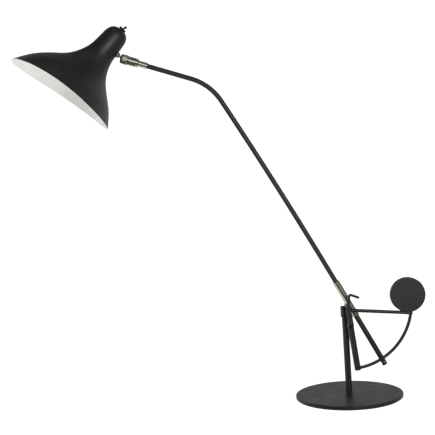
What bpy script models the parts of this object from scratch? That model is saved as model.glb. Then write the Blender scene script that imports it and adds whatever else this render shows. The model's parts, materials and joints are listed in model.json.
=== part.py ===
"""Counterbalanced architect desk lamp, modelled piece by piece.

Metres, +Z up. The origin is the centre of the underside of the base. The post stands on the
origin; +X points from the post to the counterweight, -X to the shade, and -Y is the front.
The arm, the sector frame and the shade lie in a plane in front of the post.
"""
import math

import bmesh
import bpy
from mathutils import Matrix, Vector

# Clearances
GAP = 0.0003

# Base and post
BASE_RADIUS = 0.110
BASE_HEIGHT = 0.0085
BASE_EDGE = 0.0012
PAD_RADIUS = 0.107
PAD_THICKNESS = 0.0015
BOLT_RADIUS = 0.0030
BOLT_HEAD_RADIUS = 0.0065
BOLT_HEAD_HEIGHT = 0.0021
BOLT_REACH = 0.018
FOOT_PLUG_HEIGHT = 0.026
WASHER_RADIUS = 0.0090
WASHER_THICKNESS = 0.0008
POST_RADIUS = 0.0066
POST_BORE = 0.0051
POST_TOP = 0.1860
GROOVE_DEPTH = 0.0007
GROOVE_Z = 0.1782
GROOVE_HALF = 0.0024

# Swivel collar on top of the post
COLLAR_RADIUS = 0.0086
COLLAR_BOTTOM = 0.1671
COLLAR_TOP = 0.1894
COLLAR_SCREW_RADIUS = 0.0019

# Arm pivot: its axis runs front to back beside the top of the post
PIVOT_X = 0.0025
PIVOT_Z = 0.1940
ARM_Y = -0.0210
TRUNNION_RADIUS = 0.0026
CLIP_RADIUS = 0.0042
CLIP_THICKNESS = 0.0009
HUB_RADIUS = 0.0048
HUB_HALF = 0.0080
PIVOT_WASHER = 0.0006

# Sector frame: downtube, bar and arc
DOWNTUBE_RADIUS = 0.0063
DOWNTUBE_BORE = 0.0049
DOWNTUBE_LEAN = math.radians(6.4)
DOWNTUBE_END_Z = 0.0608
DOWNTUBE_CAP = 0.0008
YOKE_TOP = 0.1560
YOKE_BOTTOM = 0.1460
YOKE_FRONT_THICKNESS = 0.0050
YOKE_REAR_THICKNESS = 0.0030
YOKE_BOSS = 0.0050
YOKE_FOOT_INSET = 0.0014
ARC_RADIUS = 0.1312
ARC_ROD = 0.0032
BAR_ROD = 0.0035
BAR_END = Vector((0.1332, ARM_Y - ARC_ROD - BAR_ROD - GAP, 0.1714))
BAR_START_X = 0.0106
BAR_SLOPE = 0.107

# Counterweight
WEIGHT_RADIUS = 0.0354
WEIGHT_THICKNESS = 0.0140
WEIGHT_CENTRE = Vector((0.1253, ARM_Y - 0.0073, 0.2094))
WEIGHT_SCREW_RADIUS = 0.0017
WEIGHT_SCREW_X = 0.1225
WEIGHT_SCREW_TIP = -0.0024
WEIGHT_SCREW_TOP = 0.0158
WEIGHT_EDGE = 0.0018

# Arm
ARM_LEAN = math.radians(27.7)
ARM_LEAN_AT_BEND = math.radians(30.3)
ARM_LEAN_TOP = math.radians(70.5)
ARM_OFFSET = 0.0048
ARM_BEND_RADIUS = 0.110
ARM_TUBE_RADIUS = 0.0050
ARM_BORE = 0.0039
ROD_RADIUS = 0.0054
SLEEVE_RADIUS = 0.0070
SLEEVE_BORE = 0.0057
SLEEVE_UP = 0.0528
SLEEVE_DOWN = 0.0285
ROD_END = 0.1366
FERRULE_END = 0.1448
GROMMET_S = 0.1130
GROMMET_RADIUS = 0.0027
GROMMET_FLANGE = 0.0039
SPIGOT_LENGTH = 0.0014
LEAD_RADIUS = 0.0018

# Clamp lever
KNOB_RADIUS = 0.0048
KNOB_LENGTH = 0.0075
KNOB_FACE = 0.0016
LEVER_ROD = 0.0026
LEVER_LEAN = math.radians(6.5)
LEVER_RISE = 0.0243
LEVER_DROOP = math.radians(22.5)
LEVER_REACH = 0.0217
LEVER_BEND = 0.0055

# Ball joint
BALL_CENTRE = Vector((-0.4205, ARM_Y, 0.7194))
BALL_RADIUS = 0.0055
STEM_RADIUS = 0.0023
STEM_COLLAR_RADIUS = 0.0061
STEM_NUT_RADIUS = 0.0052
STEM_WASHER_RADIUS = 0.0058
CAP_RADIUS = 0.0099
SOCKET_RADIUS = 0.0089
SOCKET_LENGTH = 0.0207
SOCKET_SLOT = 0.0024
SOCKET_FLOOR = 0.0025
CAP_BACK = 0.0085
CAP_FRONT = 0.0070
STEM_END = 0.0242
FERRULE_RADIUS = 0.0064
FERRULE_LENGTH = 0.0192

# Shade: local axes run from the mouth to the dome and across the mouth towards the arm
SHADE_CHORD_DROP = math.radians(38.2)
SHADE_ROLL = math.radians(5.8)
SHADE_WALL = 0.0010
SHADE_SADDLE = 0.0110
SADDLE_FADES_AT = 0.060
BALL_HEIGHT = 0.1337
BALL_REACH = 0.0645
NECK_SIDE = 0.0467
NECK_SLOPE = 0.060
NECK_REFERENCE = (0.130, 0.0209)
# Outline stations of the shade: height over the mouth, radius, sideways offset of the section
SHADE_STATIONS = (
    (0.0000, 0.1167, 0.0026),
    (0.0110, 0.1093, 0.0026),
    (0.0220, 0.1019, 0.0033),
    (0.0340, 0.0925, 0.0040),
    (0.0460, 0.0808, 0.0049),
    (0.0580, 0.0680, 0.0068),
    (0.0680, 0.0566, 0.0096),
    (0.0760, 0.0487, 0.0119),
    (0.0860, 0.0411, 0.0141),
    (0.0990, 0.0343, 0.0164),
    (0.1140, 0.0290, 0.0188),
    (0.1300, 0.0264, 0.0210),
    (0.1480, 0.0250, 0.0226),
    (0.1610, 0.0238, 0.0235),
    (0.1680, 0.0218, 0.0239),
    (0.1735, 0.0185, 0.0239),
    (0.1775, 0.0139, 0.0239),
    (0.1794, 0.0094, 0.0239),
)

# Lamp inside the shade: heights over the mouth
HOLDER_RADIUS = 0.0165
HOLDER_BOTTOM = 0.1130
HOLDER_TOP = 0.1570
HOLDER_BORE = 0.0138
BAND_BOTTOM = 0.1280
BAND_TOP = 0.1390
BAND_THICKNESS = 0.0016
BULB_RADIUS = 0.0280
BULB_BOTTOM = 0.0440
BULB_CAP_RADIUS = 0.0130
BULB_CAP_BOTTOM = 0.1100
BULB_CAP_TOP = 0.1370

# Toggle switch in the dome: heights over the dome's centre of curvature
SWITCH_NUT_RADIUS = 0.0080
SWITCH_NUT_THICKNESS = 0.0030
SWITCH_BUSH = 0.0030
SWITCH_BODY_RADIUS = 0.0062
SWITCH_BODY_LENGTH = 0.0174
SWITCH_BODY_SHOULDER = 0.0224
SWITCH_NUT_SEAT = 0.0262
SWITCH_TILT = math.radians(6.0)
DOME_CENTRE = 0.1550
SWITCH_LEAN = math.radians(15.0)

FINE = 48
MEDIUM = 24
SMALL = 16

X_AXIS = Vector((1.0, 0.0, 0.0))
Y_AXIS = Vector((0.0, 1.0, 0.0))
Z_AXIS = Vector((0.0, 0.0, 1.0))
PIVOT = Vector((PIVOT_X, ARM_Y, PIVOT_Z))


# ---------------------------------------------------------------- helpers

def clear_scene():
    for item in list(bpy.data.objects):
        bpy.data.objects.remove(item, do_unlink=True)


def material(name, colour, roughness, metallic):
    made = bpy.data.materials.new(name)
    made.use_nodes = True
    shader = made.node_tree.nodes["Principled BSDF"]
    shader.inputs["Base Color"].default_value = (*colour, 1.0)
    shader.inputs["Roughness"].default_value = roughness
    shader.inputs["Metallic"].default_value = metallic
    return made


def place(origin, z_axis, x_hint=X_AXIS):
    """Matrix whose local Z is z_axis and whose local X is as near x_hint as it can be."""
    z = Vector(z_axis).normalized()
    x = (Vector(x_hint) - z * Vector(x_hint).dot(z)).normalized()
    y = z.cross(x)
    turn = Matrix((x, y, z)).transposed().to_4x4()
    return Matrix.Translation(origin) @ turn


def finish_mesh(name, bm, finish, matrix=None, angle=35.0):
    bmesh.ops.remove_doubles(bm, verts=bm.verts, dist=1e-6)
    bmesh.ops.recalc_face_normals(bm, faces=bm.faces)
    mesh = bpy.data.meshes.new(name)
    bm.to_mesh(mesh)
    bm.free()
    mesh.shade_smooth()
    mesh.set_sharp_from_angle(angle=math.radians(angle))
    made = bpy.data.objects.new(name, mesh)
    bpy.context.scene.collection.objects.link(made)
    if finish is not None:
        mesh.materials.append(finish)
    if matrix is not None:
        made.matrix_world = matrix
    return made


def turned(name, profile, finish, segments=MEDIUM, matrix=None):
    """Solid of revolution about local Z of a closed outline of (radius, height) points."""
    bm = bmesh.new()
    verts = [bm.verts.new((radius, 0.0, height)) for radius, height in profile]
    for index, vert in enumerate(verts):
        bm.edges.new((vert, verts[(index + 1) % len(verts)]))
    bmesh.ops.spin(bm, geom=bm.verts[:] + bm.edges[:], cent=(0.0, 0.0, 0.0), axis=Z_AXIS,
                   angle=2.0 * math.pi, steps=segments, use_merge=True)
    bmesh.ops.remove_doubles(bm, verts=bm.verts, dist=1e-6)
    on_axis = [edge for edge in bm.edges if not edge.link_faces]
    bmesh.ops.delete(bm, geom=on_axis, context="EDGES")
    return finish_mesh(name, bm, finish, matrix)


def ring_profile(inner, outer, low, high, edge=0.0):
    """Outline of a tube, ring or (inner 0) rod with its outer edges broken by a small chamfer."""
    points = [(inner, low), (outer - edge, low)]
    if edge:
        points += [(outer, low + edge), (outer, high - edge)]
    points += [(outer - edge, high), (inner, high)]
    return points


def prism(name, outline, low, high, finish, matrix=None):
    """Straight extrusion of a flat outline of (x, y) points from low to high along local Z."""
    bm = bmesh.new()
    face = bm.faces.new([bm.verts.new((x, y, low)) for x, y in outline])
    grown = bmesh.ops.extrude_face_region(bm, geom=[face])
    lifted = [item for item in grown["geom"] if isinstance(item, bmesh.types.BMVert)]
    bmesh.ops.translate(bm, verts=lifted, vec=(0.0, 0.0, high - low))
    return finish_mesh(name, bm, finish, matrix)


def box(name, low, high, finish=None):
    bm = bmesh.new()
    bmesh.ops.create_cube(bm, size=1.0)
    size = Vector(high) - Vector(low)
    bmesh.ops.scale(bm, verts=bm.verts, vec=size)
    bmesh.ops.translate(bm, verts=bm.verts, vec=(Vector(low) + Vector(high)) / 2.0)
    return finish_mesh(name, bm, finish)


def rod(name, points, radius, finish, bevel=3):
    """Round rod along a run of points, from a curve with a bevel and filled caps."""
    curve = bpy.data.curves.new(name, "CURVE")
    curve.dimensions = "3D"
    curve.bevel_depth = radius
    curve.bevel_resolution = bevel
    curve.use_fill_caps = True
    spline = curve.splines.new("POLY")
    spline.points.add(len(points) - 1)
    for point, place_at in zip(spline.points, points):
        point.co = (*place_at, 1.0)
    carrier = bpy.data.objects.new(name + "_path", curve)
    bpy.context.scene.collection.objects.link(carrier)
    bpy.context.view_layer.update()
    depsgraph = bpy.context.evaluated_depsgraph_get()
    swept = bpy.data.meshes.new_from_object(carrier.evaluated_get(depsgraph))
    bm = bmesh.new()
    bm.from_mesh(swept)
    bpy.data.objects.remove(carrier, do_unlink=True)
    bpy.data.meshes.remove(swept)
    return finish_mesh(name, bm, finish)


def boolean(target, tool, operation):
    """Boolean of target with tool, and the tool kept as a hidden guide."""
    step = target.modifiers.new(operation.lower(), "BOOLEAN")
    step.operation = operation
    step.object = tool
    step.solver = "EXACT"
    tool.hide_render = True
    tool.display_type = "WIRE"
    return target


def cut(target, tool):
    return boolean(target, tool, "DIFFERENCE")


def join(target, tool):
    return boolean(target, tool, "UNION")


def arc_points(centre, radius, start, end, steps):
    """Points (x, z) on a circle from angle start to end, angles from +X towards +Z."""
    points = []
    for step in range(steps + 1):
        angle = start + (end - start) * step / steps
        points.append((centre[0] + radius * math.cos(angle), centre[1] + radius * math.sin(angle)))
    return points


def axis_empty(name, position, parent=None):
    made = bpy.data.objects.new(name, None)
    made.empty_display_size = 0.02
    bpy.context.scene.collection.objects.link(made)
    made.matrix_world = Matrix.Translation(position)
    bpy.context.view_layer.update()
    if parent is not None:
        attach(parent, made)
    return made


def attach(parent, *children):
    """Parent children without moving them."""
    bpy.context.view_layer.update()
    for child in children:
        kept = child.matrix_world.copy()
        child.parent = parent
        child.matrix_parent_inverse = parent.matrix_world.inverted()
        child.matrix_world = kept
    bpy.context.view_layer.update()


# ---------------------------------------------------------------- placed frames

def downtube_x(height):
    """X of the downtube's axis at a height."""
    return PIVOT_X + (PIVOT_Z - height) * math.tan(DOWNTUBE_LEAN)


def lean(angle):
    """Direction that climbs to the left, at an angle from the vertical."""
    return Vector((-math.sin(angle), 0.0, math.cos(angle)))


ARM_UP = lean(ARM_LEAN)
ARM_SIDE = Vector((math.cos(ARM_LEAN), 0.0, math.sin(ARM_LEAN)))
ARM_FOOT = PIVOT + ARM_SIDE * ARM_OFFSET
TOP_UP = lean(ARM_LEAN_TOP)

SHADE_ACROSS = Vector((math.cos(SHADE_CHORD_DROP), 0.0, -math.sin(SHADE_CHORD_DROP)))
SHADE_FLAT_UP = Vector((math.sin(SHADE_CHORD_DROP), 0.0, math.cos(SHADE_CHORD_DROP)))
SHADE_UP = SHADE_FLAT_UP * math.cos(SHADE_ROLL) + Y_AXIS * math.sin(SHADE_ROLL)
SHADE_DEPTH = SHADE_UP.cross(SHADE_ACROSS)
MOUTH = BALL_CENTRE - SHADE_UP * BALL_HEIGHT - SHADE_ACROSS * BALL_REACH
NECK_UP = (SHADE_UP + SHADE_ACROSS * NECK_SLOPE).normalized()


def in_shade(height, across=0.0, depth=0.0):
    return MOUTH + SHADE_UP * height + SHADE_ACROSS * across + SHADE_DEPTH * depth


def neck_point(height):
    """Point on the neck's axis at a height over the mouth."""
    return in_shade(height, NECK_REFERENCE[1] + NECK_SLOPE * (height - NECK_REFERENCE[0]))


def neck_frame():
    """Frame on the neck's axis, whose local Z measures from the mouth's plane."""
    return place(neck_point(0.0), NECK_UP, SHADE_ACROSS)


def switch_frame():
    """Frame of the toggle switch, tilted from the neck towards the arm about the dome's centre."""
    leaning = NECK_UP * math.cos(SWITCH_TILT) + SHADE_ACROSS * math.sin(SWITCH_TILT)
    return place(neck_point(DOME_CENTRE), leaning, SHADE_ACROSS)


def arm_path():
    """Centreline of the upper tube: straight, then slightly bowed, then bent, then straight."""
    start = ARM_FOOT + ARM_UP * SLEEVE_UP
    turn = Vector((math.cos(ARM_LEAN_TOP) - math.cos(ARM_LEAN_AT_BEND), 0.0,
                   math.sin(ARM_LEAN_TOP) - math.sin(ARM_LEAN_AT_BEND))) * ARM_BEND_RADIUS
    run = BALL_CENTRE - start - turn
    bow = lean((ARM_LEAN + ARM_LEAN_AT_BEND) / 2.0)
    spread = bow.x * TOP_UP.z - bow.z * TOP_UP.x
    bow_length = (run.x * TOP_UP.z - run.z * TOP_UP.x) / spread
    points = [ARM_FOOT + ARM_UP * (2.0 * GAP), start]
    bow_steps = 8
    for step in range(bow_steps):
        part = (step + 0.5) / bow_steps
        heading = ARM_LEAN + (ARM_LEAN_AT_BEND - ARM_LEAN) * part
        points.append(points[-1] + lean(heading) * (bow_length / bow_steps))
    bend_steps = 10
    turn_angle = ARM_LEAN_TOP - ARM_LEAN_AT_BEND
    for step in range(bend_steps):
        heading = ARM_LEAN_AT_BEND + turn_angle * (step + 0.5) / bend_steps
        points.append(points[-1] + lean(heading) * (ARM_BEND_RADIUS * turn_angle / bend_steps))
    return points


# ---------------------------------------------------------------- base and post

def build_base(enamel, felt, steel):
    disc_low = PAD_THICKNESS + GAP
    bolt_low = disc_low + GAP
    washer_low = bolt_low + BOLT_HEAD_HEIGHT + GAP
    counterbore_top = washer_low + WASHER_THICKNESS + GAP
    hole = BOLT_RADIUS + 2.0 * GAP
    turned("base_pad", ring_profile(0.0, PAD_RADIUS, 0.0, PAD_THICKNESS), felt, FINE)
    edge_centre = (BASE_RADIUS - BASE_EDGE, BASE_HEIGHT - BASE_EDGE)
    disc = [(WASHER_RADIUS + 4.0 * GAP, disc_low), (BASE_RADIUS - BASE_EDGE, disc_low),
            (BASE_RADIUS, disc_low + BASE_EDGE)]
    disc += arc_points(edge_centre, BASE_EDGE, 0.0, math.pi / 2.0, 3)
    disc += [(hole, BASE_HEIGHT), (hole, counterbore_top), (WASHER_RADIUS + 4.0 * GAP, counterbore_top)]
    turned("base_disc", disc, enamel, FINE)
    washer_high = washer_low + WASHER_THICKNESS
    turned("base_washer", ring_profile(hole, WASHER_RADIUS, washer_low, washer_high), steel)
    post_low = BASE_HEIGHT + GAP
    plug_top = post_low + FOOT_PLUG_HEIGHT
    bolt_top = post_low + BOLT_REACH
    bolt = [(0.0, bolt_low), (BOLT_HEAD_RADIUS, bolt_low), (BOLT_HEAD_RADIUS, bolt_low + BOLT_HEAD_HEIGHT),
            (BOLT_RADIUS, bolt_low + BOLT_HEAD_HEIGHT), (BOLT_RADIUS, bolt_top), (0.0, bolt_top)]
    turned("base_bolt", bolt, steel, SMALL)
    plug_radius = POST_BORE - GAP
    plug = [(BOLT_RADIUS + GAP, post_low), (plug_radius, post_low), (plug_radius, plug_top), (0.0, plug_top),
            (0.0, bolt_top + GAP), (BOLT_RADIUS + GAP, bolt_top + GAP)]
    turned("post_foot_plug", plug, steel, SMALL)
    groove = POST_RADIUS - GROOVE_DEPTH
    post = [(POST_BORE, post_low), (POST_RADIUS, post_low), (POST_RADIUS, GROOVE_Z - GROOVE_HALF),
            (groove, GROOVE_Z - GROOVE_HALF), (groove, GROOVE_Z + GROOVE_HALF),
            (POST_RADIUS, GROOVE_Z + GROOVE_HALF), (POST_RADIUS, POST_TOP), (POST_BORE, POST_TOP)]
    turned("post_tube", post, enamel)


# ---------------------------------------------------------------- swivelling sector frame

def build_collar(enamel, steel):
    edge = 0.0008
    bore = POST_RADIUS + GAP
    roof = POST_TOP + GAP
    outline = [(bore, COLLAR_BOTTOM), (COLLAR_RADIUS - edge / 2.0, COLLAR_BOTTOM),
               (COLLAR_RADIUS, COLLAR_BOTTOM + edge / 2.0), (COLLAR_RADIUS, COLLAR_TOP - edge),
               (COLLAR_RADIUS - edge, COLLAR_TOP), (0.0, COLLAR_TOP), (0.0, roof), (bore, roof)]
    collar = turned("swivel_collar", outline, enamel)
    drill_at = place(Vector((0.0, 0.0, GROOVE_Z)), Y_AXIS)
    drill = turned("collar_drill", ring_profile(0.0, COLLAR_SCREW_RADIUS + GAP, 0.004, 0.010), None, SMALL,
                   drill_at)
    cut(collar, drill)
    tip = POST_RADIUS - GROOVE_DEPTH + GAP
    screw = turned("collar_screw", ring_profile(0.0, COLLAR_SCREW_RADIUS, tip, COLLAR_RADIUS - GAP), steel,
                   SMALL, drill_at)
    return [collar, drill, screw]


def build_yoke(enamel):
    """Fork on top of the downtube: two prongs that carry the arm's trunnions."""
    inner = HUB_HALF + PIVOT_WASHER + 2.0 * GAP
    front = ARM_Y - inner - YOKE_FRONT_THICKNESS
    rear = ARM_Y + inner + YOKE_REAR_THICKNESS
    low_x = downtube_x(YOKE_BOTTOM)
    foot_half = DOWNTUBE_RADIUS - YOKE_FOOT_INSET
    outline = [(low_x - foot_half, YOKE_BOTTOM), (low_x + foot_half, YOKE_BOTTOM)]
    outline += arc_points((PIVOT_X, PIVOT_Z), YOKE_BOSS, math.radians(-5.0), math.radians(185.0), 12)
    flat = Matrix.Rotation(math.radians(90.0), 4, "X")
    yoke = prism("yoke", outline, -rear, -front, enamel, flat)
    slot = box("yoke_slot", (-0.03, ARM_Y - inner, YOKE_TOP), (0.04, ARM_Y + inner, PIVOT_Z + 0.02))
    cut(yoke, slot)
    pad = box("yoke_pad", (-0.0035, rear - 0.0010, COLLAR_BOTTOM + 0.003),
              (0.0055, rear + 0.004, COLLAR_TOP - 0.003))
    join(yoke, pad)
    saddle = turned("yoke_saddle", ring_profile(0.0, COLLAR_RADIUS + GAP, COLLAR_BOTTOM - 0.01,
                                                COLLAR_TOP + 0.001), None)
    cut(yoke, saddle)
    bore_at = place(PIVOT, Y_AXIS)
    bore = turned("yoke_bore", ring_profile(0.0, TRUNNION_RADIUS + GAP, -0.03, 0.03), None, SMALL, bore_at)
    cut(yoke, bore)
    spigot_top = Vector((downtube_x(YOKE_BOTTOM + 0.003), ARM_Y, YOKE_BOTTOM + 0.003))
    spigot = turned("yoke_spigot", ring_profile(0.0, DOWNTUBE_BORE - GAP, -0.015, 0.0), None, SMALL,
                    place(spigot_top, lean(DOWNTUBE_LEAN)))
    join(yoke, spigot)
    return [yoke, slot, pad, saddle, bore, spigot]


def bar_points():
    """Ends of the bar: against the flank of the front prong, and in front of the arc's upper end."""
    start_y = ARM_Y - HUB_HALF - PIVOT_WASHER - 2.0 * GAP - YOKE_FRONT_THICKNESS / 2.0
    start_z = BAR_END.z + (BAR_END.x - BAR_START_X) * BAR_SLOPE
    return [Vector((BAR_START_X, start_y, start_z)), BAR_END]


def build_sector(enamel):
    corner_rise = DOWNTUBE_RADIUS * math.tan(DOWNTUBE_LEAN)
    rise = lean(DOWNTUBE_LEAN)
    tube_top = Vector((downtube_x(YOKE_BOTTOM), ARM_Y, YOKE_BOTTOM)) - rise * (corner_rise + GAP)
    tube_low = Vector((downtube_x(DOWNTUBE_END_Z), ARM_Y, DOWNTUBE_END_Z))
    length = (tube_top - tube_low).length
    at = place(tube_low, rise)
    wall = ring_profile(DOWNTUBE_BORE, DOWNTUBE_RADIUS, 0.0, length)
    downtube = turned("downtube", wall, enamel, MEDIUM, at)
    stopper = ring_profile(0.0, DOWNTUBE_RADIUS, -DOWNTUBE_CAP - GAP, -GAP, 0.0003)
    plug = turned("downtube_plug", stopper, enamel, MEDIUM, at)
    start = math.asin((tube_low.x - PIVOT_X - 0.003) / ARC_RADIUS) - math.pi / 2.0
    end = -math.asin((PIVOT_Z - BAR_END.z - 0.0008) / ARC_RADIUS)
    track = [Vector((x, ARM_Y, z)) for x, z in arc_points((PIVOT_X, PIVOT_Z), ARC_RADIUS, start, end, 28)]
    arc = rod("arc_rod", track, ARC_ROD, enamel)
    entry = rod("arc_entry", track[:8], ARC_ROD + GAP, None)
    cut(downtube, entry)
    bar = rod("top_bar", bar_points(), BAR_ROD, enamel)
    return [downtube, plug, arc, entry, bar] + build_counterweight(bar, enamel)


def build_counterweight(bar, enamel):
    half = WEIGHT_THICKNESS / 2.0
    edge = WEIGHT_EDGE
    outline = [(0.0, -half)]
    outline += arc_points((WEIGHT_RADIUS - edge, edge - half), edge, -math.pi / 2.0, 0.0, 3)
    outline += arc_points((WEIGHT_RADIUS - edge, half - edge), edge, 0.0, math.pi / 2.0, 3)
    outline += [(0.0, half)]
    weight = turned("counterweight", outline, enamel, FINE, place(WEIGHT_CENTRE, Y_AXIS))
    bar_from, bar_to = bar_points()
    groove = rod("weight_groove", [bar_from, bar_to.lerp(bar_from, -1.0)], BAR_ROD + GAP, None)
    cut(weight, groove)
    part = (WEIGHT_SCREW_X - bar_from.x) / (bar_to.x - bar_from.x)
    on_bar = bar_from.lerp(bar_to, part)
    at = place(on_bar, Z_AXIS)
    hole = ring_profile(0.0, WEIGHT_SCREW_RADIUS + GAP, -0.008, WEIGHT_SCREW_TOP + 0.0007)
    drill = turned("weight_drill", hole, None, SMALL, at)
    cut(weight, drill)
    cut(bar, drill)
    shank = ring_profile(0.0, WEIGHT_SCREW_RADIUS, WEIGHT_SCREW_TIP, WEIGHT_SCREW_TOP)
    screw = turned("counterweight_screw", shank, enamel, SMALL, at)
    return [weight, groove, drill, screw]


def build_pivot_washers(fibre):
    at = place(PIVOT, Y_AXIS)
    inner = HUB_HALF + GAP
    outer = inner + PIVOT_WASHER
    hole = TRUNNION_RADIUS + GAP
    front = turned("pivot_washer_front", ring_profile(hole, KNOB_RADIUS, -outer, -inner), fibre, SMALL, at)
    rear = turned("pivot_washer_rear", ring_profile(hole, KNOB_RADIUS, inner, outer), fibre, SMALL, at)
    return [front, rear]


# ---------------------------------------------------------------- clamp lever

def build_clamp(enamel):
    """Round nut on the front trunnion, tightened by a bent wire lever."""
    at = place(PIVOT, -Y_AXIS)
    back = HUB_HALF + PIVOT_WASHER + 3.0 * GAP + YOKE_FRONT_THICKNESS
    bore = TRUNNION_RADIUS + GAP
    edge = 0.0008
    floor = back + KNOB_LENGTH - KNOB_FACE
    outline = [(bore, back), (KNOB_RADIUS, back), (KNOB_RADIUS, back + KNOB_LENGTH - edge),
               (KNOB_RADIUS - edge, back + KNOB_LENGTH), (0.0, back + KNOB_LENGTH),
               (0.0, floor), (bore, floor)]
    knob = turned("clamp_nut", outline, enamel, MEDIUM, at)
    lever_y = ARM_Y - back - KNOB_LENGTH / 2.0
    rise = lean(-LEVER_LEAN)
    root = Vector((PIVOT_X, lever_y, PIVOT_Z))
    start = root + rise * (KNOB_RADIUS - 0.0019)
    apex = root + rise * LEVER_RISE
    tip = apex + Vector((math.cos(LEVER_DROOP), 0.0, -math.sin(LEVER_DROOP))) * LEVER_REACH
    shoulder = apex - rise * LEVER_BEND
    turn_end = apex + (tip - apex).normalized() * LEVER_BEND
    points = [start, shoulder]
    steps = 6
    for step in range(1, steps + 1):
        part = step / steps
        points.append(shoulder * (1.0 - part) ** 2 + apex * 2.0 * part * (1.0 - part) + turn_end * part ** 2)
    points.append(tip)
    lever = rod("clamp_lever", points, LEVER_ROD, enamel)
    hole = ring_profile(0.0, LEVER_ROD + GAP, KNOB_RADIUS - 0.0022, 2.5 * KNOB_RADIUS)
    drill = turned("lever_drill", hole, None, SMALL, place(root, rise))
    cut(knob, drill)
    return [knob, lever, drill]


# ---------------------------------------------------------------- arm

def build_hub(steel):
    """Saddle brazed to the nickel sleeve, with a trunnion at each end."""
    at = place(PIVOT, -Y_AXIS)
    front_end = HUB_HALF + PIVOT_WASHER + 2.0 * GAP + YOKE_FRONT_THICKNESS + KNOB_LENGTH - KNOB_FACE
    rear_end = HUB_HALF + PIVOT_WASHER + 2.0 * GAP + YOKE_REAR_THICKNESS + 0.0017
    outline = [(0.0, -rear_end), (TRUNNION_RADIUS, -rear_end), (TRUNNION_RADIUS, -HUB_HALF),
               (HUB_RADIUS, -HUB_HALF), (HUB_RADIUS, HUB_HALF), (TRUNNION_RADIUS, HUB_HALF),
               (TRUNNION_RADIUS, front_end), (0.0, front_end)]
    hub = turned("arm_hub", outline, steel, MEDIUM, at)
    channel = turned("hub_channel", ring_profile(0.0, SLEEVE_RADIUS + GAP, -0.03, 0.03), None, MEDIUM,
                     place(ARM_FOOT, ARM_UP, Y_AXIS))
    cut(hub, channel)
    clip_low = HUB_HALF + PIVOT_WASHER + 3.0 * GAP + YOKE_REAR_THICKNESS
    ring = ring_profile(TRUNNION_RADIUS + GAP, CLIP_RADIUS, -clip_low - CLIP_THICKNESS, -clip_low)
    clip = turned("pivot_clip", ring, steel, SMALL, at)
    return [hub, channel, clip]


def build_arm(enamel, nickel, rubber):
    along = place(ARM_FOOT, ARM_UP, Y_AXIS)
    wall = ring_profile(SLEEVE_BORE, SLEEVE_RADIUS, -SLEEVE_DOWN, SLEEVE_UP, 0.0004)
    sleeve = turned("pivot_sleeve", wall, nickel, MEDIUM, along)
    path = arm_path()
    tube_top = BALL_CENTRE - TOP_UP * (CAP_BACK + SOCKET_LENGTH + 3.0 * GAP + SOCKET_FLOOR)
    tube = rod("arm_tube", path + [tube_top], ARM_TUBE_RADIUS, enamel, 4)
    ream_start = path[0] - ARM_UP * 0.002
    ream = rod("arm_ream", [ream_start] + path[1:] + [tube_top + TOP_UP * 0.002], ARM_BORE, None, 4)
    cut(tube, ream)
    lower_wall = ring_profile(ARM_BORE, ROD_RADIUS, -ROD_END, -2.0 * GAP)
    lower = turned("lower_rod", lower_wall, enamel, MEDIUM, along)
    outlet = place(ARM_FOOT - ARM_UP * GROMMET_S, Y_AXIS, ARM_UP)
    hole = ring_profile(0.0, GROMMET_RADIUS + GAP, 0.001, 0.008)
    outlet_drill = turned("outlet_drill", hole, None, SMALL, outlet)
    cut(lower, outlet_drill)
    flange = ROD_RADIUS + GAP
    bore = LEAD_RADIUS + GAP
    inner = ARM_BORE + GAP
    grommet_outline = [(bore, inner), (GROMMET_RADIUS, inner), (GROMMET_RADIUS, flange),
                       (GROMMET_FLANGE, flange), (GROMMET_FLANGE, flange + 0.0008),
                       (GROMMET_FLANGE - 0.0006, flange + 0.0013), (bore, flange + 0.0013)]
    grommet = turned("cable_grommet", grommet_outline, rubber, SMALL, outlet)
    rod_end = build_rod_end(nickel, along, lower)
    lead_low = ARM_FOOT - ARM_UP * (GROMMET_S - 0.004)
    lead_turn = ARM_FOOT - ARM_UP * (GROMMET_S - 0.0008) + Y_AXIS * 0.0006
    lead_out = ARM_FOOT - ARM_UP * GROMMET_S + Y_AXIS * 0.0022
    lead_end = ARM_FOOT - ARM_UP * GROMMET_S + Y_AXIS * flange
    lead_path = [lead_end, lead_out, lead_turn, lead_low] + path[1:] + [tube_top - TOP_UP * 0.001]
    lead = rod("arm_lead", lead_path, LEAD_RADIUS, rubber, 2)
    return [sleeve, tube, ream, lower, outlet_drill, grommet, lead] + rod_end


def build_rod_end(nickel, along, lower):
    """Cross holes in the lower rod that slide along the arc, and the plug that closes its end."""
    crossing = math.sqrt(ARC_RADIUS ** 2 - ARM_OFFSET ** 2)
    centre = ARM_FOOT - ARM_UP * crossing
    radial = (centre - PIVOT).normalized()
    tangent = radial.cross(Y_AXIS)
    guide = turned("arc_guide", ring_profile(0.0, ARC_ROD + 2.0 * GAP, -0.012, 0.012), None, MEDIUM,
                   place(centre, tangent, Y_AXIS))
    cut(lower, guide)
    low = -FERRULE_END
    high = -ROD_END - GAP
    spigot = ARM_BORE - GAP
    edge = 0.0012
    outline = [(0.0, low), (ROD_RADIUS - edge, low), (ROD_RADIUS, low + edge), (ROD_RADIUS, high),
               (spigot, high), (spigot, high + SPIGOT_LENGTH), (0.0, high + SPIGOT_LENGTH)]
    ferrule = turned("arm_end_ferrule", outline, nickel, MEDIUM, along)
    return [ferrule, guide]


# ---------------------------------------------------------------- ball joint

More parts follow.
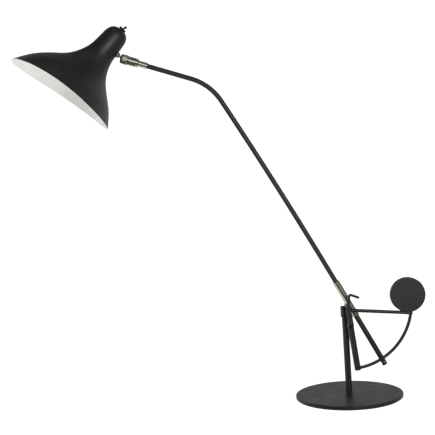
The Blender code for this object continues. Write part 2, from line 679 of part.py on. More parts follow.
def build_joint(nickel, nylon, steel):
    """Socket, cap, spring and seat, along the top of the arm; heights run from the ball outwards."""
    at = place(BALL_CENTRE, TOP_UP, Y_AXIS)
    cavity = BALL_RADIUS + GAP
    cap_outline = [(cavity, -CAP_BACK), (CAP_RADIUS, -CAP_BACK), (CAP_RADIUS, CAP_FRONT - 0.0040),
                   (CAP_RADIUS - 0.0007, CAP_FRONT - 0.0017), (CAP_RADIUS - 0.0024, CAP_FRONT),
                   (0.0066, CAP_FRONT), (0.0051, 0.0026), (cavity, 0.0012)]
    cap = turned("socket_cap", cap_outline, nickel, MEDIUM, at)
    socket_front = -CAP_BACK - GAP
    socket_back = socket_front - SOCKET_LENGTH
    floor = socket_back + SOCKET_FLOOR
    bore = 0.0060
    socket_outline = [(bore, socket_front), (bore, floor), (LEAD_RADIUS + GAP, floor),
                      (LEAD_RADIUS + GAP, socket_back), (SOCKET_RADIUS - 0.0008, socket_back),
                      (SOCKET_RADIUS, socket_back + 0.0008), (SOCKET_RADIUS, socket_front)]
    socket = turned("joint_socket", socket_outline, nickel, MEDIUM, at)
    slot_low = floor + 0.002
    slot_high = socket_front - 0.003
    slot = SOCKET_SLOT / 2.0
    tools = []
    for index in range(2):
        turn = Matrix.Rotation(math.radians(45.0 + 90.0 * index), 4, "Z")
        outline = [(-0.012, -slot), (0.012, -slot), (0.012, slot), (-0.012, slot)]
        tool = prism("socket_slot_%d" % index, outline, slot_low, slot_high, None, at @ turn)
        cut(socket, tool)
        tools.append(tool)
    ferrule_low = socket_back - GAP - FERRULE_LENGTH
    ferrule_outline = ring_profile(ARM_TUBE_RADIUS + GAP, FERRULE_RADIUS, ferrule_low, socket_back - GAP,
                                   0.0006)
    ferrule = turned("joint_ferrule", ferrule_outline, nickel, MEDIUM, at)
    seat_outline = [(0.0046, -0.0036), (0.0055, -0.0036), (0.0055, -0.0064), (0.0030, -0.0064),
                    (0.0030, -0.0052)]
    seat = turned("ball_seat", seat_outline, nylon, SMALL, at)
    spring = build_spring(steel, at, -0.0068, floor + GAP)
    return [cap, socket, ferrule, spring] + tools, seat


def build_spring(steel, at, high, low):
    """Compression spring that presses the seat onto the ball."""
    wire = 0.00055
    coil = 0.0046
    turns = 6
    sides = 12
    top = high - wire
    bottom = low + wire
    points = []
    for step in range(turns * sides + 1):
        part = step / (turns * sides)
        angle = 2.0 * math.pi * turns * part
        local = Vector((coil * math.cos(angle), coil * math.sin(angle), bottom + (top - bottom) * part))
        points.append(at @ local)
    return rod("joint_spring", points, wire, steel, 1)


def build_stem(nickel):
    stem_up = -SHADE_ACROSS
    at = place(BALL_CENTRE, stem_up, Y_AXIS)
    ball = [(x, z) for x, z in arc_points((0.0, 0.0), BALL_RADIUS, -math.pi / 2.0, math.radians(62.0), 10)]
    ball[0] = (0.0, -BALL_RADIUS)
    neck = math.cos(math.asin(STEM_RADIUS / BALL_RADIUS)) * BALL_RADIUS
    outline = ball + [(STEM_RADIUS, neck), (STEM_RADIUS, STEM_END), (0.0, STEM_END)]
    return turned("ball_stem", outline, nickel, SMALL, at)


# ---------------------------------------------------------------- shade

def build_shell(enamel):
    """Spun shade: round sections on a leaning centreline, with a saddle-cut mouth."""
    bm = bmesh.new()
    turn = Matrix((SHADE_ACROSS, SHADE_DEPTH, SHADE_UP)).transposed().to_4x4()
    previous = None
    for height, radius, offset in SHADE_STATIONS:
        ring = bmesh.ops.create_circle(bm, segments=40, radius=radius, cap_ends=False)["verts"]
        fade = max(0.0, 1.0 - height / SADDLE_FADES_AT)
        for vert in ring:
            side = vert.co.y / radius
            vert.co.z = height + SHADE_SADDLE * side * side * fade
            vert.co.x += offset
        edges = list({edge for vert in ring for edge in vert.link_edges})
        if previous:
            bmesh.ops.bridge_loops(bm, edges=previous + edges)
        previous = edges
    bmesh.ops.edgeloop_fill(bm, edges=previous)
    shell = finish_mesh("shade_shell", bm, enamel, Matrix.Translation(MOUTH) @ turn, 50.0)
    skin = shell.modifiers.new("wall", "SOLIDIFY")
    skin.thickness = SHADE_WALL
    skin.offset = -1.0
    skin.use_even_offset = True
    stem_hole = turned("stem_hole", ring_profile(0.0, STEM_RADIUS + GAP, 0.012, 0.024), None, SMALL,
                       place(BALL_CENTRE, -SHADE_ACROSS, Y_AXIS))
    cut(shell, stem_hole)
    bush_hole = ring_profile(0.0, SWITCH_BUSH + GAP, SWITCH_BODY_SHOULDER - 0.004, SWITCH_NUT_SEAT + 0.004)
    switch_hole = turned("switch_hole", bush_hole, None, SMALL, switch_frame())
    cut(shell, switch_hole)
    return [shell, stem_hole, switch_hole]


def build_stem_fixings(nickel, steel):
    at = place(BALL_CENTRE, -SHADE_ACROSS, Y_AXIS)
    hole = STEM_RADIUS + GAP
    wall = BALL_REACH - NECK_SIDE
    collar_ring = ring_profile(hole, STEM_COLLAR_RADIUS, wall - 0.0025, wall - 0.0011, 0.0003)
    collar = turned("stem_collar", collar_ring, nickel, MEDIUM, at)
    nut_ring = ring_profile(hole, STEM_NUT_RADIUS, wall - 0.0060, wall - 0.0028, 0.0006)
    nut = turned("stem_nut", nut_ring, nickel, MEDIUM, at)
    washer_ring = ring_profile(hole, STEM_WASHER_RADIUS, wall + 0.0021, wall + 0.0029)
    washer = turned("stem_washer", washer_ring, steel, MEDIUM, at)
    return [collar, nut, washer]


def build_lamp(phenolic, steel, glass, brass):
    """Lampholder clamped to the stem's inner end, with its bulb."""
    at = neck_frame()
    bore_top = BULB_CAP_TOP + 0.0010
    outline = [(HOLDER_BORE, HOLDER_BOTTOM), (HOLDER_RADIUS, HOLDER_BOTTOM), (HOLDER_RADIUS, 0.1480),
               (0.0110, HOLDER_TOP), (0.0, HOLDER_TOP), (0.0, bore_top), (HOLDER_BORE, bore_top)]
    holder = turned("lampholder", outline, phenolic, MEDIUM, at)
    band_ring = ring_profile(0.0, HOLDER_RADIUS + BAND_THICKNESS, BAND_BOTTOM, BAND_TOP)
    band = turned("holder_bracket", band_ring, steel, MEDIUM, at)
    wall = BALL_REACH - NECK_SIDE
    ear_at = place(BALL_CENTRE, -SHADE_ACROSS, Y_AXIS)
    ear = turned("bracket_ear", ring_profile(0.0, 0.0048, wall + 0.0032, wall + 0.0125), None, SMALL, ear_at)
    join(band, ear)
    clear_ring = ring_profile(0.0, HOLDER_RADIUS + GAP, HOLDER_BOTTOM, HOLDER_TOP)
    holder_clear = turned("holder_clear", clear_ring, None, MEDIUM, at)
    cut(band, holder_clear)
    ear_hole = ring_profile(0.0, STEM_RADIUS + GAP, 0.016, STEM_END + 2.0 * GAP)
    ear_bore = turned("bracket_bore", ear_hole, None, SMALL, ear_at)
    cut(band, ear_bore)
    thread = ring_profile(0.0, BULB_CAP_RADIUS, BULB_CAP_BOTTOM, BULB_CAP_TOP, 0.0010)
    cap = turned("bulb_cap", thread, brass, MEDIUM, at)
    globe_centre = BULB_BOTTOM + BULB_RADIUS
    globe = arc_points((0.0, globe_centre), BULB_RADIUS, -math.pi / 2.0, math.radians(35.0), 10)
    globe[0] = (0.0, BULB_BOTTOM)
    shoulder = globe[-1]
    neck = (0.0132, BULB_CAP_BOTTOM - GAP)
    taper = []
    for part in (0.35, 0.7):
        taper.append((shoulder[0] + (neck[0] - shoulder[0]) * part,
                      shoulder[1] + (neck[1] - shoulder[1]) * part ** 0.8))
    bulb = turned("bulb_glass", globe + taper + [neck, (0.0, neck[1])], glass, MEDIUM, at)
    return [holder, band, ear, ear_bore, holder_clear, cap, bulb]


def build_switch(enamel, phenolic):
    at = switch_frame()
    bush = SWITCH_BUSH
    bore = 0.0021
    body_low = SWITCH_BODY_SHOULDER - SWITCH_BODY_LENGTH
    nut_top = SWITCH_NUT_SEAT + SWITCH_NUT_THICKNESS
    bush_top = nut_top + 0.0002
    outline = [(0.0, body_low), (SWITCH_BODY_RADIUS, body_low), (SWITCH_BODY_RADIUS, SWITCH_BODY_SHOULDER),
               (bush, SWITCH_BODY_SHOULDER), (bush, bush_top), (bore + 0.0004, bush_top),
               (bore, bush_top - 0.0010), (bore, bush_top - 0.0050), (0.0, bush_top - 0.0050)]
    body = turned("switch_body", outline, phenolic, SMALL, at)
    ring = ring_profile(bush + GAP, SWITCH_NUT_RADIUS, SWITCH_NUT_SEAT, nut_top, 0.0007)
    nut = turned("switch_nut", ring, enamel, MEDIUM, at)
    pivot = at @ Vector((0.0, 0.0, bush_top - 0.0016))
    axis = at.to_3x3() @ Z_AXIS
    lean_to = axis * math.cos(SWITCH_LEAN) + (at.to_3x3() @ X_AXIS) * math.sin(SWITCH_LEAN)
    bat = [(0.0, -0.0022), (0.0008, -0.0022), (0.0012, 0.0), (0.0013, 0.0018), (0.0026, 0.0062),
           (0.0028, 0.0078), (0.0020, 0.0092), (0.0, 0.0098)]
    lever = turned("switch_lever", bat, enamel, SMALL, place(pivot, lean_to, SHADE_ACROSS))
    return [body, nut], lever, pivot


# ---------------------------------------------------------------- assembly

def main():
    clear_scene()
    enamel = material("black_enamel", (0.022, 0.022, 0.022), 0.42, 0.0)
    nickel = material("satin_nickel", (0.62, 0.61, 0.56), 0.28, 1.0)
    steel = material("plain_steel", (0.45, 0.45, 0.46), 0.38, 1.0)
    brass = material("lamp_cap_metal", (0.72, 0.66, 0.46), 0.35, 1.0)
    felt = material("felt", (0.035, 0.035, 0.037), 0.95, 0.0)
    rubber = material("black_rubber", (0.020, 0.020, 0.021), 0.70, 0.0)
    nylon = material("nylon", (0.80, 0.79, 0.74), 0.50, 0.0)
    fibre = material("fibre", (0.30, 0.12, 0.06), 0.80, 0.0)
    phenolic = material("phenolic", (0.030, 0.026, 0.024), 0.35, 0.0)
    glass = material("opal_glass", (0.92, 0.92, 0.90), 0.20, 0.0)

    build_base(enamel, felt, steel)

    frame_axis = axis_empty("frame_axis", Vector((0.0, 0.0, POST_TOP)))
    attach(frame_axis, *build_collar(enamel, steel))
    attach(frame_axis, *build_yoke(enamel))
    attach(frame_axis, *build_sector(enamel))
    attach(frame_axis, *build_pivot_washers(fibre))

    clamp_axis = axis_empty("clamp_axis", PIVOT, frame_axis)
    attach(clamp_axis, *build_clamp(enamel))

    arm_axis = axis_empty("arm_axis", PIVOT, frame_axis)
    attach(arm_axis, *build_hub(steel))
    attach(arm_axis, *build_arm(enamel, nickel, rubber))

    joint_pieces, seat = build_joint(nickel, nylon, steel)
    attach(arm_axis, *joint_pieces)
    head_roll_axis = axis_empty("head_roll_axis", BALL_CENTRE, arm_axis)
    attach(head_roll_axis, seat)

    head_tilt_axis = axis_empty("head_tilt_axis", BALL_CENTRE, head_roll_axis)
    attach(head_tilt_axis, build_stem(nickel))

    shade_axis = axis_empty("shade_axis", BALL_CENTRE, head_tilt_axis)
    attach(shade_axis, *build_shell(enamel))
    attach(shade_axis, *build_stem_fixings(nickel, steel))
    attach(shade_axis, *build_lamp(phenolic, steel, glass, brass))
    switch_pieces, lever, lever_pivot = build_switch(enamel, phenolic)
    attach(shade_axis, *switch_pieces)

    switch_axis = axis_empty("switch_axis", lever_pivot, shade_axis)
    attach(switch_axis, lever)


main()
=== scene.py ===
"""Looks of a counterbalanced architect desk lamp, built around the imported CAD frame.

Metres, +Z up, in the CAD frame: the post stands on the origin, the shade is on -X, -Y is the front.
"""

import json
import math

import bmesh
import bpy
from mathutils import Matrix, Vector


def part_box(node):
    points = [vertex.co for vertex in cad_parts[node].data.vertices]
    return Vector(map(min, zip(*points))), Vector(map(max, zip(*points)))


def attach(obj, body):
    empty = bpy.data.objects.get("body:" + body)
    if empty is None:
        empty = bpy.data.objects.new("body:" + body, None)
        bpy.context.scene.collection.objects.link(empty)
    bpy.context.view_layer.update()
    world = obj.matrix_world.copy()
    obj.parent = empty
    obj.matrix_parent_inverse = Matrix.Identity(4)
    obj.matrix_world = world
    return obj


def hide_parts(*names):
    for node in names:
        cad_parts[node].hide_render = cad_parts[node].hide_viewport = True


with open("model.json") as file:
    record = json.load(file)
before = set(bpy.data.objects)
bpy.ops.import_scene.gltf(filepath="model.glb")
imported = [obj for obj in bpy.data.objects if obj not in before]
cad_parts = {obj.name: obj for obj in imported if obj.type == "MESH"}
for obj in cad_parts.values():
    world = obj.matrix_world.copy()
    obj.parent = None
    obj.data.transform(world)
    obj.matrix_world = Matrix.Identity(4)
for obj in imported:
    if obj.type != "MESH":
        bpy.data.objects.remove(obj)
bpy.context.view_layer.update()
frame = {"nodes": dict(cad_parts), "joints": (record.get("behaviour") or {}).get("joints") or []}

X_AXIS = Vector((1.0, 0.0, 0.0))
Y_AXIS = Vector((0.0, 1.0, 0.0))
Z_AXIS = Vector((0.0, 0.0, 1.0))

# Places and directions that the joints give
JOINTS = {joint["name"]: joint for joint in frame["joints"]}
PIVOT = Vector(JOINTS["arm_tilt"]["pos_m"])
BALL = Vector(JOINTS["head_roll"]["pos_m"])
TOP_UP = Vector(JOINTS["head_roll"]["axis"]).normalized()
ACROSS = -Vector(JOINTS["shade_swivel"]["axis"]).normalized()
DEPTH = Vector(JOINTS["switch_toggle"]["axis"]).normalized()
SHADE_UP = ACROSS.cross(DEPTH)
TOGGLE = Vector(JOINTS["switch_toggle"]["pos_m"])

# Arm
ARM_LEAN = math.radians(27.7)
ARM_LEAN_AT_BEND = math.radians(30.3)
ARM_LEAN_TOP = math.radians(70.5)
ARM_OFFSET = 0.0048
ARM_BEND_RADIUS = 0.110
ARM_TUBE_RADIUS = 0.0050
SLEEVE_RADIUS = 0.0070
SLEEVE_UP = 0.0528
SLEEVE_DOWN = 0.0285
FERRULE_LOW = 0.1448
FERRULE_HIGH = 0.1369
ROD_RADIUS = 0.0054
ROD_END = 0.1366
ARM_BORE = 0.0039
GROMMET_AT = 0.1130
GROMMET_HOLE = 0.0030
GUIDE_CLEARANCE = 0.0006

# Trunnion bore through the fork and the clamp nut
TRUNNION_BORE = 0.0029

# Clamp lever
LEVER_ROD = 0.0026
LEVER_LEAN = math.radians(6.5)
LEVER_RISE = 0.0243
LEVER_DROOP = math.radians(22.5)
LEVER_REACH = 0.0217
LEVER_BEND = 0.0055
LEVER_END_ROUNDING = 0.0018

# Sector frame
DOWNTUBE_RADIUS = 0.0063
DOWNTUBE_LEAN = math.radians(6.4)
DOWNTUBE_LOW = 0.0608
DOWNTUBE_HIGH = 0.1453
ARC_RADIUS = 0.1312
ARC_ROD = 0.0032
BAR_ROD = 0.0035
YOKE_FLOOR = 0.1560
YOKE_INNER = 0.0092
YOKE_FRONT_THICKNESS = 0.0050
YOKE_REAR_THICKNESS = 0.0030
YOKE_BOSS = 0.0050
# The fork's pad towards the collar, as its low and high corners in X and Z
YOKE_PAD_LOW = (-0.0035, 0.1701)
YOKE_PAD_HIGH = (0.0055, 0.1864)
COLLAR_SCREW_HEIGHT = 0.1782
COLLAR_SCREW_HOLE = 0.0024
WEIGHT_SCREW_HOLE = 0.0020

# Top bar, which falls by BAR_SLOPE from the fork at BAR_START_X to the outer corner
BAR_SLOPE = 0.107
BAR_START_X = 0.0106
BAR_END_X = 0.1332
BAR_END_Z = 0.1714
BAR_START = Vector((BAR_START_X, PIVOT.y - 0.0117, BAR_END_Z + (BAR_END_X - BAR_START_X) * BAR_SLOPE))
BAR_END = Vector((BAR_END_X, PIVOT.y - 0.0070, BAR_END_Z))

# Ball joint, measured from the ball's centre along the arm's end
CAP_RADIUS = 0.0099
CAP_BACK = 0.0085
CAP_FRONT = 0.0070
SOCKET_RADIUS = 0.0089
SOCKET_BORE = 0.0060
SOCKET_FRONT = 0.0088
SOCKET_LENGTH = 0.0207
SLOT_HALF = 0.0016
JOINT_GAP = 0.0003
CAP_CAVITY = 0.0058
SOCKET_FLOOR = 0.0025
SOCKET_HOLE = 0.0021
BALL_RADIUS = 0.0055
STEM_RADIUS = 0.0023
STEM_LENGTH = 0.0242
FERRULE_RADIUS = 0.0064
FERRULE_LENGTH = 0.0192

# Shade, in its own axes: up from the mouth, and across the mouth towards the arm
BALL_HEIGHT = 0.1337
BALL_REACH = 0.0645
SHADE_WALL = 0.0010
SADDLE = 0.0110
SADDLE_FADES_AT = 0.060
NECK_SLOPE = 0.060
# A point of the neck's axis (up, across), and how far across the neck's wall is at the stem
NECK_REFERENCE = (0.130, 0.0209)
NECK_SIDE = 0.0467
SWITCH_TILT = math.radians(6.0)
SWITCH_NUT_SEAT = 0.0262
DOME_CENTRE = 0.1550
SWITCH_LEAN = math.radians(15.0)
SWITCH_NUT_RADIUS = 0.0080
SWITCH_NUT_THICKNESS = 0.0030
# Each station of the shade: its height, its radius, and how far across its centre is
SHADE_STATIONS = (
    (0.0000, 0.1167, 0.0026),
    (0.0110, 0.1093, 0.0026),
    (0.0220, 0.1019, 0.0033),
    (0.0340, 0.0925, 0.0040),
    (0.0460, 0.0808, 0.0049),
    (0.0580, 0.0680, 0.0068),
    (0.0680, 0.0566, 0.0096),
    (0.0760, 0.0487, 0.0119),
    (0.0860, 0.0411, 0.0141),
    (0.0990, 0.0343, 0.0164),
    (0.1140, 0.0290, 0.0188),
    (0.1300, 0.0264, 0.0210),
    (0.1480, 0.0250, 0.0226),
    (0.1610, 0.0238, 0.0235),
    (0.1680, 0.0218, 0.0239),
    (0.1735, 0.0185, 0.0239),
    (0.1775, 0.0139, 0.0239),
    (0.1794, 0.0094, 0.0239),
)
MOUTH = BALL - SHADE_UP * BALL_HEIGHT - ACROSS * BALL_REACH

# Bulb
BULB_RADIUS = 0.0280
BULB_BOTTOM = 0.0440
CAP_LOW = 0.1100
CAP_HIGH = 0.1370
CAP_THREAD_RADIUS = 0.0130
HOLDER_RADIUS = 0.0165
HOLDER_BORE = 0.0138
HOLDER_LOW = 0.1130
HOLDER_SHOULDER = 0.1480
HOLDER_TOP = 0.1570

# Camera
LOOK_AT = Vector((-0.2508, 0.0, 0.388))
CAMERA_AT = Vector((-0.2508, -1.7491, 0.443))
CAMERA_ROLL = math.radians(-3.445)
LENS = 70.32

# Mesh: vertices closer than this merge, and edges sharper than this are not smoothed
MERGE = 1e-6
SHARP_ANGLE = 32.0

# Shading braces: how long a side must be to get them, and how far they stand from its ends
LONG_SIDE = 0.0012
BRACE = 0.0003
SWEPT_SIDES = 32

# Texture scales of the rings that spinning leaves in enamel, and of the lines that a lathe leaves in metal
SPUN_RINGS = 55.0
LATHE_LINES = 2600.0

# Studio: each softbox has its place, its aim, its width and height, and its power in watts.
# The world's strength runs from front to back, and is multiplied by WORLD_OVERHEAD high up.
WORLD_FRONT = 0.06
WORLD_BACK = 0.66
WORLD_OVERHEAD = 0.15
LIGHTS = (
    ("left_softbox", (-2.2, 0.7, 0.8), (-0.1, 0.0, 0.35), (0.5, 1.4), 9.0),
    ("front_softbox", (0.55, -2.3, 0.95), (-0.30, 0.0, 0.55), (0.9, 0.6), 35.0),
    ("arm_softbox", (-0.60, -2.3, 1.15), (-0.30, 0.0, 0.50), (0.45, 1.7), 7.0),
    ("low_right_card", (1.0, -2.0, 0.32), (0.0, 0.0, 0.22), (0.7, 0.4), 0.8),
    ("top_softbox", (-0.25, -0.3, 2.4), (-0.25, 0.0, 0.0), (1.2, 0.9), 2.5),
)
STUDIO_CENTRE = (-0.25, 0.0, 0.0)
FLOOR_RADIUS = 1.3
SWEEP_STARTS = 2.6
SWEEP_CURVE = 1.2
SWEEP_TOP = 4.0
# The bounce card's near left and far right corners, its height and its glow
BOUNCE_CARD = ((-1.2, -0.35), (-0.16, 0.6), 0.0015, 1.2)


# ---------------------------------------------------------------- mesh helpers

def place(origin, z_axis, x_hint=X_AXIS):
    """Matrix whose local Z is z_axis and whose local X is as near x_hint as it can be."""
    z = Vector(z_axis).normalized()
    x = (Vector(x_hint) - z * Vector(x_hint).dot(z)).normalized()
    turn = Matrix((x, z.cross(x), z)).transposed().to_4x4()
    return Matrix.Translation(origin) @ turn


def lean(angle):
    """Direction in the plane of X and Z that leans from straight up towards the shade."""
    return Vector((-math.sin(angle), 0.0, math.cos(angle)))


def finish_mesh(name, bm, finishes, matrix=None, angle=SHARP_ANGLE):
    """Object of bm, moved by matrix; its lathe attribute keeps the coordinates it was shaped in."""
    bmesh.ops.remove_doubles(bm, verts=bm.verts, dist=MERGE)
    bmesh.ops.recalc_face_normals(bm, faces=bm.faces)
    mesh = bpy.data.meshes.new(name)
    bm.to_mesh(mesh)
    bm.free()
    lathe = mesh.attributes.new("lathe", "FLOAT_VECTOR", "POINT")
    for vert, entry in zip(mesh.vertices, lathe.data):
        entry.vector = vert.co
    if matrix is not None:
        mesh.transform(matrix)
    mesh.shade_smooth()
    mesh.set_sharp_from_angle(angle=math.radians(angle))
    for finish in finishes:
        mesh.materials.append(finish)
    made = bpy.data.objects.new(name, mesh)
    bpy.context.scene.collection.objects.link(made)
    return made


def turned(name, profile, finish, matrix=None, segments=64,
           flutes=0, flute_depth=0.0, flute_band=(0.0, 0.0)):
    """Solid of revolution about local Z, with optional flutes cut round a band of its height."""
    bm = bmesh.new()
    verts = [bm.verts.new((radius, 0.0, height)) for radius, height in braced(profile)]
    for index, vert in enumerate(verts):
        bm.edges.new((vert, verts[(index + 1) % len(verts)]))
    bmesh.ops.spin(bm, geom=bm.verts[:] + bm.edges[:], cent=(0.0, 0.0, 0.0), axis=Z_AXIS,
                   angle=2.0 * math.pi, steps=segments, use_merge=True)
    bmesh.ops.remove_doubles(bm, verts=bm.verts, dist=MERGE)
    on_axis = [edge for edge in bm.edges if not edge.link_faces]
    bmesh.ops.delete(bm, geom=on_axis, context="EDGES")
    if flutes:
        widest = max(radius for radius, _ in profile)
        for vert in bm.verts:
            out = math.hypot(vert.co.x, vert.co.y)
            if out > widest * 0.97 and flute_band[0] <= vert.co.z <= flute_band[1]:
                swing = 0.5 - 0.5 * math.cos(flutes * math.atan2(vert.co.y, vert.co.x))
                keep = 1.0 - flute_depth * swing ** 3 / out
                vert.co.x *= keep
                vert.co.y *= keep
    return finish_mesh(name, bm, [finish], matrix)


def braced(profile):
    """Closed outline with a point close to each end of its long sides, which keeps their shading level."""
    points = []
    for start, end in zip(profile, profile[1:] + profile[:1]):
        points.append(start)
        length = math.hypot(end[0] - start[0], end[1] - start[1])
        if length > LONG_SIDE:
            points += [(start[0] + (end[0] - start[0]) * share, start[1] + (end[1] - start[1]) * share)
                       for share in (BRACE / length, 1.0 - BRACE / length)]
    return points


def rounded(inner, outer, low, high, edge, steps=3):
    """Outline of a ring or (inner 0) rod from low to high whose outer corners are rounded."""
    points = [(inner, low)]
    for step in range(steps + 1):
        turn = math.radians(90.0) * step / steps
        points.append((outer - edge + edge * math.sin(turn), low + edge - edge * math.cos(turn)))
    for step in range(steps + 1):
        turn = math.radians(90.0) * step / steps
        points.append((outer - edge + edge * math.cos(turn), high - edge + edge * math.sin(turn)))
    points.append((inner, high))
    return points


def bridge(bm, rings, close_start=True):
    """Skin over a run of rings with the same number of corners, closed at its ends."""
    sides = len(rings[0])
    for lower, upper in zip(rings, rings[1:]):
        for turn in range(sides):
            after = (turn + 1) % sides
            bm.faces.new((lower[turn], lower[after], upper[after], upper[turn]))
    if close_start:
        bm.faces.new(rings[0])
    bm.faces.new(rings[-1])


def block(name, low, high):
    """Plain box, used only to shape other pieces."""
    bm = bmesh.new()
    bmesh.ops.create_cube(bm, size=1.0)
    bmesh.ops.scale(bm, verts=bm.verts, vec=Vector(high) - Vector(low))
    bmesh.ops.translate(bm, verts=bm.verts, vec=(Vector(low) + Vector(high)) / 2.0)
    return finish_mesh(name, bm, [ENAMEL])


def swept(name, path, radius, finish, edge=0.0006):
    """Round bar along a path that lies in a plane facing Y or is straight, with rounded ends."""
    bm = bmesh.new()
    first = (path[1] - path[0]).normalized()
    last = (path[-1] - path[-2]).normalized()
    stations = [(path[0] + first * edge * (1.0 - math.cos(math.radians(30.0 * step))), first,
                 radius - edge + edge * math.sin(math.radians(30.0 * step))) for step in range(4)]
    stations.append((path[0] + first * (edge + BRACE), first, radius))
    for index in range(1, len(path) - 1):
        along = ((path[index + 1] - path[index]).normalized()
                 + (path[index] - path[index - 1]).normalized()).normalized()
        stations.append((path[index], along, radius))
    stations.append((path[-1] - last * (edge + BRACE), last, radius))
    stations += [(path[-1] - last * edge * (1.0 - math.cos(math.radians(30.0 * step))), last,
                  radius - edge + edge * math.sin(math.radians(30.0 * step))) for step in (3, 2, 1, 0)]
    rings = []
    for centre, along, width in stations:
        out = (Y_AXIS - along * along.dot(Y_AXIS)).normalized()
        side = along.cross(out)
        ring = []
        for turn in range(SWEPT_SIDES):
            angle = 2.0 * math.pi * turn / SWEPT_SIDES
            ring.append(bm.verts.new(centre + out * math.cos(angle) * width
                                     + side * math.sin(angle) * width))
        rings.append(ring)
    bridge(bm, rings)
    return finish_mesh(name, bm, [finish])


def smooth_points(points, per_span):
    """Catmull-Rom curve through tuples of numbers, with per_span steps between neighbours."""
    padded = [points[0]] + list(points) + [points[-1]]
    made = []
    for index in range(1, len(padded) - 2):
        before, start, end, after = padded[index - 1:index + 3]
        for step in range(per_span):
            t = step / per_span
            made.append(tuple(
                0.5 * (2.0 * b + (c - a) * t + (2.0 * a - 5.0 * b + 4.0 * c - d) * t * t
                       + (3.0 * b - a - 3.0 * c + d) * t ** 3)
                for a, b, c, d in zip(before, start, end, after)))
    made.append(tuple(points[-1]))
    return made


def arc_points(centre, radius, start, end, steps):
    """Points (x, z) on a circle from angle start to end, angles from +X towards +Z."""
    points = []
    for step in range(steps + 1):
        angle = start + (end - start) * step / steps
        points.append((centre[0] + radius * math.cos(angle), centre[1] + radius * math.sin(angle)))
    return points


def carve(target, tool, operation="DIFFERENCE"):
    """Cut tool out of target, or join it on, for good."""
    step = target.modifiers.new("carve", "BOOLEAN")
    step.operation = operation
    step.object = tool
    step.solver = "EXACT"
    bpy.context.view_layer.update()
    evaluated = target.evaluated_get(bpy.context.evaluated_depsgraph_get())
    mesh = bpy.data.meshes.new_from_object(evaluated)
    target.modifiers.clear()
    target.data = mesh
    mesh.shade_smooth()
    mesh.set_sharp_from_angle(angle=math.radians(SHARP_ANGLE))
    bpy.data.objects.remove(tool, do_unlink=True)
    return target


def stand_in(piece, body, *nodes):
    """The piece rides on a body and is shown in place of CAD nodes."""
    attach(piece, body)
    if nodes:
        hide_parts(*nodes)
    return piece


# ---------------------------------------------------------------- materials

class Nodes:
    """Shorthand for building one material's node tree, over lathe or object coordinates."""

    def __init__(self, name, lathe=False):
        self.material = bpy.data.materials.new(name)
        self.material.use_nodes = True
        self.tree = self.material.node_tree
        self.shader = self.tree.nodes["Principled BSDF"]
        if lathe:
            coordinates = self.tree.nodes.new("ShaderNodeAttribute")
            coordinates.attribute_name = "lathe"
            self.place = coordinates.outputs["Vector"]
        else:
            self.place = self.tree.nodes.new("ShaderNodeTexCoord").outputs["Object"]

    def link(self, source, target):
        self.tree.links.new(source, target)

    def scaled(self, x, y, z):
        mapping = self.tree.nodes.new("ShaderNodeMapping")
        mapping.inputs["Scale"].default_value = (x, y, z)
        self.link(self.place, mapping.inputs["Vector"])
        return mapping.outputs["Vector"]

    def noise(self, scale, detail=3.0, vector=None, roughness=0.5, distortion=0.0):
        node = self.tree.nodes.new("ShaderNodeTexNoise")
        node.inputs["Scale"].default_value = scale
        node.inputs["Detail"].default_value = detail
        node.inputs["Roughness"].default_value = roughness
        node.inputs["Distortion"].default_value = distortion
        self.link(vector or self.place, node.inputs["Vector"])
        return node.outputs["Fac"]

    def cells(self, scale):
        node = self.tree.nodes.new("ShaderNodeTexVoronoi")
        node.inputs["Scale"].default_value = scale
        self.link(self.place, node.inputs["Vector"])
        return node.outputs["Distance"]

    def rings(self, scale, distortion):
        node = self.tree.nodes.new("ShaderNodeTexWave")
        node.wave_type = "BANDS"
        node.bands_direction = "Z"
        node.inputs["Scale"].default_value = scale
        node.inputs["Distortion"].default_value = distortion
        self.link(self.place, node.inputs["Vector"])
        return node.outputs["Fac"]

    def spread(self, source, low, high, start=0.3, end=0.7):
        node = self.tree.nodes.new("ShaderNodeMapRange")
        node.inputs["From Min"].default_value = start
        node.inputs["From Max"].default_value = end
        node.inputs["To Min"].default_value = low
        node.inputs["To Max"].default_value = high
        self.link(source, node.inputs["Value"])
        return node.outputs["Result"]

    def ramp(self, source, *stops):
        node = self.tree.nodes.new("ShaderNodeValToRGB")
        ramp = node.color_ramp
        while len(ramp.elements) < len(stops):
            ramp.elements.new(0.5)
        for element, (position, colour) in zip(ramp.elements, stops):
            element.position = position
            element.color = (*colour, 1.0)
        self.link(source, node.inputs["Fac"])
        return node.outputs["Color"]

    def blend(self, factor, first, second):
        node = self.tree.nodes.new("ShaderNodeMix")
        node.data_type = "RGBA"
        self.fill(factor, node.inputs["Factor"])
        self.fill(first, node.inputs[6])
        self.fill(second, node.inputs[7])
        return node.outputs[2]

    def fill(self, value, socket):
        if isinstance(value, bpy.types.NodeSocket):
            self.link(value, socket)
        elif isinstance(value, tuple):
            socket.default_value = (*value, 1.0)
        else:
            socket.default_value = value

    def bump(self, height, distance, strength=1.0, under=None):
        node = self.tree.nodes.new("ShaderNodeBump")
        node.inputs["Distance"].default_value = distance
        node.inputs["Strength"].default_value = strength
        self.link(height, node.inputs["Height"])
        if under is not None:
            self.link(under, node.inputs["Normal"])
        return node.outputs["Normal"]

    def finish(self, colour, roughness, normal=None, **constants):
        self.fill(colour, self.shader.inputs["Base Color"])
        self.fill(roughness, self.shader.inputs["Roughness"])
        if normal is not None:
            self.link(normal, self.shader.inputs["Normal"])
        for key, value in constants.items():
            self.fill(value, self.shader.inputs[key.replace("_", " ")])
        return self.material


